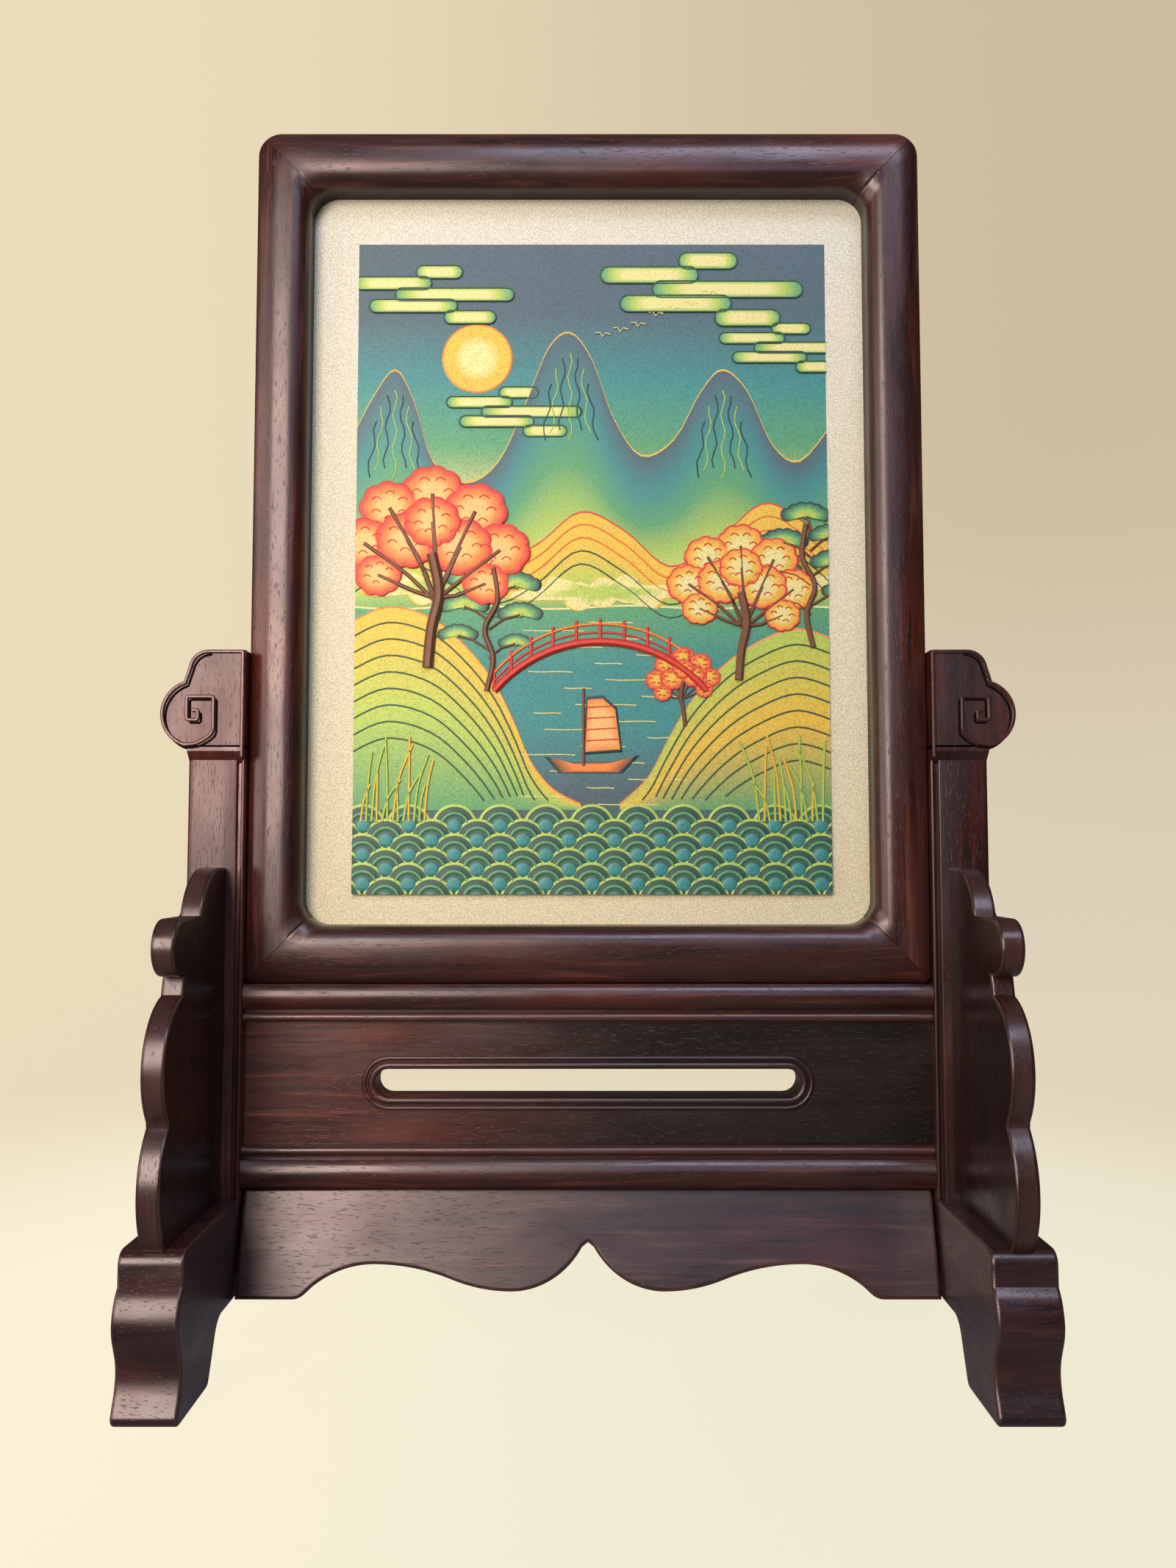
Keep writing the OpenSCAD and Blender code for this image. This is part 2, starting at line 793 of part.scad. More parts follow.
module backing_board() {
    color(plain_board) difference() {
        opening_sheet(board_lap, board_y, board_t);
        screw_places(joint_gap);
    }
}

module back_screws() {
    color(steel) screw_places();
}

left_foot();
right_foot();
left_post();
right_post();
lower_rail();
upper_rail();
slotted_panel();
front_apron();
rear_apron();
front_left_spandrel();
front_right_spandrel();
rear_left_spandrel();
rear_right_spandrel();
frame_left_stile();
frame_right_stile();
frame_top_rail();
frame_bottom_rail();
picture_plate();
backing_board();
back_screws();
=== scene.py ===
"""Chinese table screen: a framed gold picture plate that lifts out of a carved rosewood stand.

Lengths in the shape functions are millimetres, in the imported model's frame: +X to the right, +Y to the
back, +Z up, with the table at z = 0.
"""

import math

import bmesh
import bpy
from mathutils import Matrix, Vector


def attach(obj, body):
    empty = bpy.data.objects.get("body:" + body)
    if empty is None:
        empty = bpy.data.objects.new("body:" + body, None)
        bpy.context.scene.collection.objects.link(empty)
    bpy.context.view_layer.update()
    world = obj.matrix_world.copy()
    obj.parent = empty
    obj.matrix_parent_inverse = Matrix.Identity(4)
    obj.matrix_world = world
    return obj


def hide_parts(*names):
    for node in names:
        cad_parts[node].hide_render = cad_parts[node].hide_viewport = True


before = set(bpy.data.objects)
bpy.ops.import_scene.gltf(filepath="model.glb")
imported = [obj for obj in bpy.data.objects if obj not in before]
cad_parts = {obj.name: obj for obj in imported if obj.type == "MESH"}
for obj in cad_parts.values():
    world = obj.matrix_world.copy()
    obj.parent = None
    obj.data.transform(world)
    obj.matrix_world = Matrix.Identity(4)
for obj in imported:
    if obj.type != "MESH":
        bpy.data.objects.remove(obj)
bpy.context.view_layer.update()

bl_info = {
    "name": "Chinese table screen",
    "version": (1, 0, 0),
    "blender": (4, 5, 0),
    "location": "3D View > Sidebar > Table screen",
    "description": "Builds a rosewood table screen with a gold picture plate around its packed frame",
    "category": "Object",
}

MM = 0.001
SIDES = (-1, 1)
# Edges that turn by less than this are shaded smooth
CREASE = math.radians(38)
# Points closer than this, in metres, are one point
SAME = 1e-6
# Flat strip, in millimetres, that holds the shading of a face beside a rounded edge
HOLD = 0.3
# Mark of a line that is all dark wax and painted shade
WAXED_AND_SHADED = -1.0
# A raised line's middle stands this far, in millimetres, in front of its face
LINE_PROUD = 0.1

# The camera as fitted to the photograph, in pixels, millimetres, metres and radians
PHOTO_SIZE = (1600, 2133)
FOCAL_PIXELS = 1733
SENSOR = 36.0
CAMERA_PLACE = (0.0, -0.4558, 0.1651)
CAMERA_TILT = 0.0618

# Sizes repeated from the part's source, in millimetres
FOOT_X = (119.9, 139.9)
FOOT_H = 50.0
POST_X = 119.9
POST_HALF = 11.0
HEAD_Z = 205.0
HEAD_H = 34.5
HEAD_HALF = 14.0
GROOVE = (4.4, 2.9)
SPANDREL_X = (126.0, 133.4)
RAIL_HALF = 119.8
PANEL_Z = (67.6, 109.4)
PANEL_HALF = 6.0
SLOT = (148.6, 9.7)
APRON_HALF = 119.5
APRON_Y = 0.2
APRON_T = 5.8
APRON_LEAN = 10.5
SCREEN_Z = 276.6
TONGUE_X = (118.0, 123.5)
TONGUE_HALF = 2.5
TONGUE_Z = (130.2, 234.5)
PLATE_HALF = (104.4, 138.3)
PLATE_Y = (1.4, 3.4)
BOARD_HALF = (108.4, 142.3)
BOARD_Y = (3.4, 7.9)
SCREW_REACH = (106.5, 140.4)
STILE_SCREWS = (-103.4, 0.0, 103.4)
RAIL_SCREWS = (-69.5, 69.5)
# Node, plain edge, beaded edge and height of the crowned face of each rail
RAILS = (("lower_rail", 53.0, 67.5, 9.8), ("upper_rail", 123.0, 109.5, 8.8))

# Sizes set from the photograph, within two millimetres of the part's source
POST_W = 20.2
APRON_Z = (17.8, 52.9)
SCREEN_HALF = (119.75, 153.4)
# The stiles' faces are this share of the rails' faces in width
STILE_SHARE = 0.945
# The rebates of the plate and its board start this far in from the frame's outer edge
PLATE_REBATE = 15.0
BOARD_REBATE = 11.0
# The frame's lower corners are sharper: share of the radius at the outer edge, and the span to all of it
SHARP_SHARE = 0.3
SHARP_SPAN = (3.0, 11.0)
# Share by which a bar's end is drawn in across and in depth, which leaves a fine line at the mitre
MITRE_EASE = (0.012, 0.02)
PRINT_HALF = 85.8
PRINT_Z = (153.9, 392.9)
PRINT_SHIFT = 1.4
# The print's back lies in the plate
PRINT_BACK = PLATE_Y[0] + 0.1


def to_linear(code):
    """An sRGB hex colour as the linear red, green, blue and alpha that Blender works in."""
    parts = [int(code[i:i + 2], 16) / 255 for i in (1, 3, 5)]
    return tuple(c / 12.92 if c <= 0.04045 else ((c + 0.055) / 1.055) ** 2.4 for c in parts) + (1.0,)


# Outlines in millimetres

def arc(middle, radius, start, end, steps):
    """Points round an arc, from one angle to another in degrees."""
    angles = [math.radians(start + (end - start) * i / steps) for i in range(steps + 1)]
    return [(middle[0] + radius * math.cos(a), middle[1] + radius * math.sin(a)) for a in angles]


def eased(before, corner, after, radius):
    """A corner of an outline, rounded to a radius."""
    steps = 5
    corner = Vector(corner)
    back = (Vector(before) - corner).normalized()
    ahead = (Vector(after) - corner).normalized()
    half = back.angle(ahead) / 2
    middle = corner + (back + ahead).normalized() * radius / math.sin(half)
    first = corner + back * radius / math.tan(half) - middle
    last = corner + ahead * radius / math.tan(half) - middle
    turn = math.pi - 2 * half
    points = []
    for i in range(steps + 1):
        t = i / steps
        spoke = (first * math.sin((1 - t) * turn) + last * math.sin(t * turn)) / math.sin(turn)
        points.append(tuple(middle + spoke))
    return points


def eased_line(points, radius):
    """An open line whose inner corners are rounded to a radius."""
    line = [points[0]]
    for before, corner, after in zip(points, points[1:], points[2:]):
        line += eased(before, corner, after, radius)
    return line + [points[-1]]


def curve_through(points, steps):
    """A smooth line through given points."""
    ends = [points[0], *points, points[-1]]
    line = []
    for a, b, c, d in zip(ends, ends[1:], ends[2:], ends[3:]):
        for i in range(steps):
            t = i / steps
            line.append(tuple(
                q + 0.5 * t * (r - p + t * (2 * p - 5 * q + 4 * r - s + t * (3 * (q - r) + s - p)))
                for p, q, r, s in zip(a, b, c, d)))
    return line + [points[-1]]


def inset(outline, depth):
    """A closed outline, counter-clockwise, drawn in by a depth with mitred corners."""
    if not depth:
        return list(outline)
    drawn = []
    for i, point in enumerate(outline):
        before = Vector(outline[i - 1])
        here = Vector(point)
        after = Vector(outline[(i + 1) % len(outline)])
        one = (here - before).normalized()
        two = (after - here).normalized()
        normal_one = Vector((-one.y, one.x))
        normal_two = Vector((-two.y, two.x))
        spread = max(1 + normal_one.dot(normal_two), 0.25)
        drawn.append(tuple(here + (normal_one + normal_two) * depth / spread))
    return drawn


def rectangle(half_width, half_height):
    """A rectangle about its middle."""
    wide, high = half_width, half_height
    return [(-wide, -high), (wide, -high), (wide, high), (-wide, high)]


def mirrored(half):
    """A whole outline from its right half, which runs from the bottom to the top."""
    return list(half) + [(-u, v) for u, v in reversed(half)]


# Meshes

class Shell:
    """A closed skin gathered ring by ring in millimetres, with the ink, or a mark of rubbing and painted
    light or shade, at each point.
    """

    def __init__(self):
        self.points = []
        self.faces = []
        self.wear_and_light = []
        self.inks = []

    def ring(self, points, wear_and_light=0.0, inks=()):
        """Adds the points of a ring and gives their numbers."""
        first = len(self.points)
        self.points += points
        self.wear_and_light += [wear_and_light] * len(points)
        self.inks += inks
        return list(range(first, len(self.points)))

    def bridge(self, low, high):
        """Closes the gap between two rings of the same length."""
        for i in range(len(low)):
            self.faces.append((low[i - 1], low[i], high[i], high[i - 1]))

    def loft(self, rings, closed=False):
        """Bridges rings in order, and caps the ends unless the rings close on themselves."""
        for low, high in zip(rings, rings[1:]):
            self.bridge(low, high)
        if closed:
            self.bridge(rings[-1], rings[0])
            return
        self.faces.append(tuple(rings[0]))
        self.faces.append(tuple(rings[-1]))

    def mesh(self, name):
        """The finished mesh in metres: merged, facing outwards, smooth between its creases."""
        mesh = bpy.data.meshes.new(name)
        mesh.from_pydata([tuple(c * MM for c in p) for p in self.points], [], self.faces)
        wear_and_light = mesh.attributes.new("wear_and_light", "FLOAT", "POINT")
        wear_and_light.data.foreach_set("value", self.wear_and_light)
        if self.inks:
            ink = mesh.attributes.new("ink", "FLOAT_COLOR", "POINT")
            ink.data.foreach_set("color", [part for colour in self.inks for part in colour])
        finish_mesh(mesh)
        return mesh


def finish_mesh(mesh):
    """Merges doubles, turns the faces outwards and shades smooth between creases."""
    work = bmesh.new()
    work.from_mesh(mesh)
    bmesh.ops.remove_doubles(work, verts=work.verts, dist=SAME)
    bmesh.ops.dissolve_degenerate(work, edges=work.edges, dist=SAME / 10)
    bmesh.ops.recalc_face_normals(work, faces=work.faces)
    work.to_mesh(mesh)
    work.free()
    mesh.shade_smooth()
    mesh.set_sharp_from_angle(angle=CREASE)


def rounding(radius, steps=4):
    """A rounded edge from face to side: how far each step is drawn in and sunk, and how worn it is."""
    turns = [math.pi / 2 * i / steps for i in range(steps + 1)]
    return [(radius * (1 - math.sin(a)), radius * (1 - math.cos(a)), math.sin(2 * a)) for a in turns]


def slab(shell, outline, low, high, radius, place, rim=0.0):
    """A board sawn to an outline, with rounded edges and a rim that its mark paints paler, for handling and
    sheen.

    place turns a point of the outline and a depth into x, y and z.
    """
    edge = [(0.0, 0.0, 0.0)]
    if radius:
        edge = [(radius + HOLD, 0.0, 0.0), *rounding(radius), (0.0, radius + HOLD, rim)]
    levels = [(draw, low + sink, wear_and_light) for draw, sink, wear_and_light in edge]
    levels += [(draw, high - sink, wear_and_light) for draw, sink, wear_and_light in reversed(edge)]
    rings = []
    for draw, depth, wear_and_light in levels:
        rings.append(shell.ring([place(u, v, depth) for u, v in inset(outline, draw)], wear_and_light))
    shell.loft(rings)


def merge(name, meshes):
    """One mesh from several, each of them closed."""
    work = bmesh.new()
    for mesh in meshes:
        work.from_mesh(mesh)
    merged = bpy.data.meshes.new(name)
    work.to_mesh(merged)
    work.free()
    for mesh in meshes:
        bpy.data.meshes.remove(mesh)
    finish_mesh(merged)
    return merged


def set_piece(name, mesh, body, slot, material, *nodes):
    """Links a finished piece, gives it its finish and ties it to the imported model."""
    mesh.name = name
    mesh.materials.clear()
    mesh.materials.append(material)
    piece = bpy.data.objects.new(name, mesh)
    bpy.context.scene.collection.objects.link(piece)
    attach(piece, body)
    if nodes:
        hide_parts(*nodes)
    return piece


def set_wood(node, finish, mesh, use, body="stand"):
    """Sets a rosewood piece in the place of its node."""
    return set_piece(f"{node}_{finish}", mesh, body, "rosewood", rosewood(use), node)


# Node trees

# The colour sockets of a Mix node
MIX_A = 6
MIX_B = 7
MIX_OUT = 2


def feed(tree, node, inputs):
    """Sets a node's inputs: each gets a value, or a link from a socket or from a node's main output."""
    for key, value in inputs.items():
        if isinstance(value, bpy.types.Node):
            value = value.outputs[MIX_OUT if value.bl_idname == "ShaderNodeMix" else 0]
        if isinstance(value, bpy.types.NodeSocket):
            tree.links.new(value, node.inputs[key])
        else:
            node.inputs[key].default_value = value


def add(tree, kind, inputs=None, stops=None, **settings):
    """Adds a node with its settings, ramp stops, and the values or links of its inputs."""
    node = tree.nodes.new(kind)
    for key, value in settings.items():
        setattr(node, key, value)
    if stops:
        elements = node.color_ramp.elements
        while len(elements) < len(stops):
            elements.new(0.5)
        for element, (position, colour) in zip(elements, stops):
            element.position = position
            element.color = colour
    feed(tree, node, inputs or {})
    return node


def grown(name, tree, seed_mesh, values):
    """The plain mesh that a geometry tree grows from a seed mesh with these inputs."""
    holder = bpy.data.objects.new(name, seed_mesh)
    bpy.context.scene.collection.objects.link(holder)
    modifier = holder.modifiers.new("grow", "NODES")
    modifier.node_group = tree
    for item in tree.interface.items_tree:
        if item.item_type == "SOCKET" and item.in_out == "INPUT" and item.name in values:
            modifier[item.identifier] = values[item.name]
    graph = bpy.context.evaluated_depsgraph_get()
    mesh = bpy.data.meshes.new_from_object(holder.evaluated_get(graph), depsgraph=graph)
    holder.modifiers.clear()
    bpy.data.objects.remove(holder)
    bpy.data.meshes.remove(seed_mesh)
    return mesh


def new_geometry_tree(name, sockets):
    """An empty geometry tree with its named inputs; gives the tree and its input and output nodes."""
    tree = bpy.data.node_groups.new(name, "GeometryNodeTree")
    tree.interface.new_socket("Geometry", in_out="INPUT", socket_type="NodeSocketGeometry")
    for label, kind in sockets:
        tree.interface.new_socket(label, in_out="INPUT", socket_type=kind)
    tree.interface.new_socket("Geometry", in_out="OUTPUT", socket_type="NodeSocketGeometry")
    return tree, tree.nodes.new("NodeGroupInput"), tree.nodes.new("NodeGroupOutput")


def raised_line_tree():
    """A raised line of many-sided section, with a side up, that follows the edges of its seed mesh."""
    tree, given, result = new_geometry_tree("raised_line", [
        ("Radius", "NodeSocketFloat"), ("Sides", "NodeSocketInt"), ("Material", "NodeSocketMaterial")])
    sides = given.outputs["Sides"]
    path = add(tree, "GeometryNodeMeshToCurve", {"Mesh": given.outputs["Geometry"]})
    section = add(tree, "GeometryNodeCurvePrimitiveCircle", {
        "Resolution": sides, "Radius": given.outputs["Radius"]})
    half_side = add(tree, "ShaderNodeMath", {0: math.pi, 1: sides}, operation="DIVIDE")
    turn = add(tree, "ShaderNodeCombineXYZ", {"Z": half_side})
    turned = add(tree, "GeometryNodeTransform", {"Geometry": section, "Rotation": turn})
    line = add(tree, "GeometryNodeCurveToMesh", {"Curve": path, "Profile Curve": turned, "Fill Caps": True})
    whole = add(tree, "GeometryNodeRealizeInstances", {"Geometry": line})
    dressed = add(tree, "GeometryNodeSetMaterial", {
        "Geometry": whole, "Material": given.outputs["Material"]})
    feed(tree, result, {"Geometry": dressed})
    return tree


def raised_line(points, radius, material, closed=False, sides=12, wear_and_light=0.45):
    """A raised line along points in millimetres; a mark above zero paints it paler, below zero dark wax and
    painted shade.
    """
    seed = bpy.data.meshes.new("line_path")
    edges = [(i, i + 1) for i in range(len(points) - 1)]
    if closed:
        edges.append((len(points) - 1, 0))
    seed.from_pydata([tuple(c * MM for c in p) for p in points], edges, [])
    tree = bpy.data.node_groups.get("raised_line") or raised_line_tree()
    mesh = grown("raised_line_path", tree, seed, {
        "Radius": radius * MM, "Sides": sides, "Material": material})
    wear_and_light_marks = mesh.attributes.new("wear_and_light", "FLOAT", "POINT")
    wear_and_light_marks.data.foreach_set("value", [wear_and_light] * len(mesh.vertices))
    return mesh


def repeat_tree():
    """The same piece at every point of its seed mesh."""
    tree, given, result = new_geometry_tree("repeat_at_points", [
        ("Piece", "NodeSocketObject"), ("Material", "NodeSocketMaterial")])
    piece = add(tree, "GeometryNodeObjectInfo", {"Object": given.outputs["Piece"]})
    placed = add(tree, "GeometryNodeInstanceOnPoints", {
        "Points": given.outputs["Geometry"], "Instance": piece.outputs["Geometry"]})
    whole = add(tree, "GeometryNodeRealizeInstances", {"Geometry": placed})
    dressed = add(tree, "GeometryNodeSetMaterial", {
        "Geometry": whole, "Material": given.outputs["Material"]})
    feed(tree, result, {"Geometry": dressed})
    return tree


def repeat(pattern_mesh, spots, material):
    """A mesh of one pattern repeated at spots in millimetres."""
    seed = bpy.data.meshes.new("repeat_spots")
    seed.from_pydata([tuple(c * MM for c in spot) for spot in spots], [], [])
    pattern = bpy.data.objects.new("repeat_pattern", pattern_mesh)
    bpy.context.scene.collection.objects.link(pattern)
    tree = bpy.data.node_groups.get("repeat_at_points") or repeat_tree()
    mesh = grown("repeat_points", tree, seed, {"Piece": pattern, "Material": material})
    bpy.data.objects.remove(pattern)
    bpy.data.meshes.remove(pattern_mesh)
    return mesh


# Materials

def new_material(name):
    """A material with a Principled shader: the material, its tree, the shader and the place in space."""
    material = bpy.data.materials.new(name)
    material.use_nodes = True
    tree = material.node_tree
    tree.nodes.clear()
    shader = add(tree, "ShaderNodeBsdfPrincipled")
    add(tree, "ShaderNodeOutputMaterial", {"Surface": shader})
    return material, tree, shader, add(tree, "ShaderNodeTexCoord").outputs["Object"]


# How much longer the figure is along x, y and z than the bands are wide
GRAIN_X = (20.0, 2.0, 1.0)
GRAIN_Z = (1.0, 2.0, 20.0)
GRAIN_FOOT = (8.0, 24.0, 1.0)
# Name, grain, and the tints of the timber at the left and the right of the object; the tints are painted
# light and shade, scaling each wood's colour from one side to the other
WOODS = {
    "rails": ("rosewood_along_rails", GRAIN_X, (1.3, 1.15, 1.1), (1.1, 0.85, 0.8)),
    "posts": ("rosewood_along_posts", GRAIN_Z, (1.7, 1.3, 1.2), (0.85, 0.6, 0.5)),
    "stiles": ("rosewood_along_stiles", GRAIN_Z, (1.3, 1.15, 1.1), (1.2, 1.15, 1.1)),
    "feet": ("rosewood_along_feet", GRAIN_FOOT, (0.75, 0.7, 0.9), (0.6, 0.7, 1.0)),
    # The boards are tinted dark all over: painted shade for their shaded sides
    "boards": ("shade_darkened_rosewood_along_boards", GRAIN_Z, (0.45, 0.38, 0.36), (0.36, 0.27, 0.26)),
    "panel": ("figured_rosewood_along_panel", GRAIN_X, (2.9, 2.6, 2.4), (0.15, 0.2, 0.3)),
    "aprons": ("rosewood_along_aprons", GRAIN_X, (1.0, 1.0, 1.0), (0.9, 1.2, 1.6)),
}
# Where the left tint of the painted light ends and the right tint is full, in metres from the middle
PAINTED_LIGHT_X = (-0.12, 0.03)
# How far the bands sway, in millimetres
SWAY = 9.0


def rosewood(use):
    """Waxed rosewood: dark bands and fine pores along the grain, reddish zones and paler edges from handling,
    with painted light and shade: a tint from left to right, painted highlights and painted shade where the
    mesh marks them.
    """
    name, stretch, left, right = WOODS[use]
    found = bpy.data.materials.get(name)
    if found:
        return found
    wood = bpy.context.scene.table_screen_wood
    material, tree, shader, place = new_material(name)
    swayed = add(tree, "ShaderNodeVectorMath", {0: place})
    # Place, size, how far it is drawn out along the grain, detail and roughness of each noise
    figure = {
        "drift": (place, 38.0 * MM, 0.4, 1.0, 0.5),
        "bands": (swayed, wood.band_width, 1.0, 3.0, 0.6),
        "zones": (place, 34.0 * MM, 0.35, 2.0, 0.5),
        "veins": (swayed, wood.band_width * 0.45, 1.15, 1.0, 0.5),
        "pores": (swayed, wood.pore_width, 0.7, 1.0, 0.5),
        "patches": (place, 9.0 * MM, 0.3, 3.0, 0.5),
        "smears": (place, 14.0 * MM, 0.3, 3.0, 0.5),
        "scraper": (place, 8.0 * MM, 0.45, 1.0, 0.5),
    }
    noises = {}
    for label, (vector, size, drawn_out, detail, roughness) in figure.items():
        scale = [1 / (size * pull ** drawn_out) for pull in stretch]
        mapped = add(tree, "ShaderNodeMapping", {"Vector": vector, "Scale": scale})
        noises[label] = add(tree, "ShaderNodeTexNoise", {
            "Vector": mapped, "Scale": 1.0, "Detail": detail, "Roughness": roughness})
    centred = add(tree, "ShaderNodeVectorMath", {
        0: noises["drift"].outputs["Color"], 1: (0.5, 0.5, 0.5)}, operation="SUBTRACT")
    shift = add(tree, "ShaderNodeVectorMath", {0: centred, "Scale": SWAY * MM}, operation="SCALE")
    feed(tree, swayed, {1: shift})
    colour = add(tree, "ShaderNodeValToRGB", {"Fac": noises["bands"]}, stops=[
        (0.31, wood.dark), (0.47, wood.ground), (0.56, wood.ground), (0.72, wood.pale)])
    # Noise, the values where its tone starts and is full, its full share, and the tone
    layers = (("zones", 0.52, 0.74, 0.45, wood.red), ("veins", 0.36, 0.30, 0.75, wood.dark),
              ("pores", 0.37, 0.29, 0.75, wood.dark))
    for label, start, full, most, tone in layers:
        share = add(tree, "ShaderNodeMapRange", {
            "Value": noises[label], "From Min": start, "From Max": full, "To Max": most})
        colour = add(tree, "ShaderNodeMix", {0: share, MIX_A: colour, MIX_B: tone}, data_type="RGBA")
    pore_share = share
    parts = add(tree, "ShaderNodeSeparateXYZ", {"Vector": place})
    # Painted light and shade: the timber's colour is scaled from the left tint to the right one
    across = add(tree, "ShaderNodeMapRange", {
        "Value": parts.outputs["X"], "From Min": PAINTED_LIGHT_X[0], "From Max": PAINTED_LIGHT_X[1]},
        interpolation_type="SMOOTHSTEP")
    painted_light_tint = add(tree, "ShaderNodeMix", {
        0: across, MIX_A: (*left, 1.0), MIX_B: (*right, 1.0)}, data_type="RGBA")
    timber_with_painted_light = add(tree, "ShaderNodeMix", {
        0: 1.0, MIX_A: colour, MIX_B: painted_light_tint}, data_type="RGBA", blend_type="MULTIPLY")
    wear_and_light = add(tree, "ShaderNodeAttribute", attribute_name="wear_and_light").outputs["Fac"]
    # Marks above zero paint the paler rubbed colour: real rubbing, and painted highlights on the rails' beads
    # and the spandrels' front edges
    most_rubbed = 0.55
    rubbed_and_highlit = add(tree, "ShaderNodeMath", {
        0: wear_and_light, 1: noises["patches"]}, operation="MULTIPLY", use_clamp=True)
    rub_share = add(tree, "ShaderNodeMath", {0: rubbed_and_highlit, 1: most_rubbed}, operation="MULTIPLY")
    coloured = add(tree, "ShaderNodeMix", {
        0: rub_share, MIX_A: timber_with_painted_light, MIX_B: wood.rubbed_and_highlit}, data_type="RGBA")
    # Marks below zero paint the dark wax colour: wax in the carving, and painted shade beside the heads'
    # raised lines and on the frame's inner wall
    wax_and_shade = add(tree, "ShaderNodeMath", {0: wear_and_light, 1: WAXED_AND_SHADED}, operation="MULTIPLY", use_clamp=True)
    waxed_and_shaded = add(tree, "ShaderNodeMix", {0: wax_and_shade, MIX_A: coloured, MIX_B: wood.wax_and_shade}, data_type="RGBA")

    pore_dulling = 0.25
    wax_and_shade_dulling = 0.5
    gloss = add(tree, "ShaderNodeMapRange", {
        "Value": noises["smears"], "From Min": 0.3, "From Max": 0.7,
        "To Min": wood.roughness - 0.07, "To Max": wood.roughness + 0.11})
    dull = add(tree, "ShaderNodeMath", {
        0: pore_share, 1: pore_dulling, 2: gloss}, operation="MULTIPLY_ADD")
    matt = add(tree, "ShaderNodeMath", {0: wax_and_shade, 1: wax_and_shade_dulling, 2: dull}, operation="MULTIPLY_ADD")
    depth = add(tree, "ShaderNodeMath", {0: noises["bands"], 1: pore_share}, operation="SUBTRACT")
    scraped = add(tree, "ShaderNodeBump", {
        "Strength": 1.0, "Distance": 0.22 * MM, "Height": noises["scraper"]})
    relief = add(tree, "ShaderNodeBump", {
        "Strength": 0.6, "Distance": 0.06 * MM, "Height": depth, "Normal": scraped})
    feed(tree, shader, {
        "Base Color": waxed_and_shaded, "Roughness": matt, "Normal": relief, "Coat Weight": 0.2, "Coat Roughness": 0.3})
    return material


def carving_wax_and_shade():
    """Old dark wax and dust in the carved lines, and painted shade beside the raised lines: nearly black and
    without a gleam.
    """
    found = bpy.data.materials.get("dark_wax_and_painted_shade_in_carving")
    if found:
        return found
    material, tree, shader, _ = new_material("dark_wax_and_painted_shade_in_carving")
    feed(tree, shader, {
        "Base Color": bpy.context.scene.table_screen_wood.wax_and_shade, "Roughness": 0.9, "Specular IOR Level": 0.1})
    return material


def blasted_gold():
    """Sand-blasted champagne-gold anodised aluminium: a soft satin metal with a fine bright grain."""
    plate = bpy.context.scene.table_screen_plate
    material, tree, shader, place = new_material("blasted_champagne_gold")
    # The blast grit is finer than this, and is drawn half a millimetre wide so that it shows
    grit = add(tree, "ShaderNodeTexNoise", {
        "Vector": place, "Scale": 1 / plate.grit, "Detail": 2.0, "Roughness": 0.6})
    tone = add(tree, "ShaderNodeValToRGB", {"Fac": grit}, stops=[
        (0.34, plate.gold_shade), (0.5, plate.gold), (0.66, plate.gold_light)])
    parts = add(tree, "ShaderNodeSeparateXYZ", {"Vector": place})
    height = add(tree, "ShaderNodeMapRange", {
        "Value": parts.outputs["Z"], "From Min": 0.16, "From Max": 0.39})
    warmth = add(tree, "ShaderNodeMix", {
        0: height, MIX_A: plate.low_tint, MIX_B: plate.high_tint}, data_type="RGBA")
    tinted = add(tree, "ShaderNodeMix", {
        0: 1.0, MIX_A: tone, MIX_B: warmth}, data_type="RGBA", blend_type="MULTIPLY")
    relief = add(tree, "ShaderNodeBump", {"Strength": 0.5, "Distance": 0.12 * MM, "Height": grit})
    feed(tree, shader, {"Base Color": tinted, "Normal": relief, "Metallic": 0.3, "Roughness": 0.62})
    return material


def printed_ink():
    """Ink printed on the blasted plate: flat bright colour that keeps the metal's grain and satin."""
    plate = bpy.context.scene.table_screen_plate
    material, tree, shader, place = new_material("ink_on_blasted_plate")
    ink = add(tree, "ShaderNodeAttribute", attribute_name="ink").outputs["Color"]
    grit = add(tree, "ShaderNodeTexNoise", {
        "Vector": place, "Scale": 1 / plate.grit, "Detail": 2.0, "Roughness": 0.6})
    speck = add(tree, "ShaderNodeValToRGB", {"Fac": grit}, stops=[
        (0.3, to_linear("#c4c4c4")), (0.5, to_linear("#f2f2f2")), (0.7, to_linear("#ffffff"))])
    grained = add(tree, "ShaderNodeMix", {
        0: 1.0, MIX_A: ink, MIX_B: speck}, data_type="RGBA", blend_type="MULTIPLY")
    relief = add(tree, "ShaderNodeBump", {"Strength": 0.4, "Distance": 0.1 * MM, "Height": grit})
    feed(tree, shader, {"Base Color": grained, "Normal": relief, "Metallic": 0.2, "Roughness": 0.48})
    return material


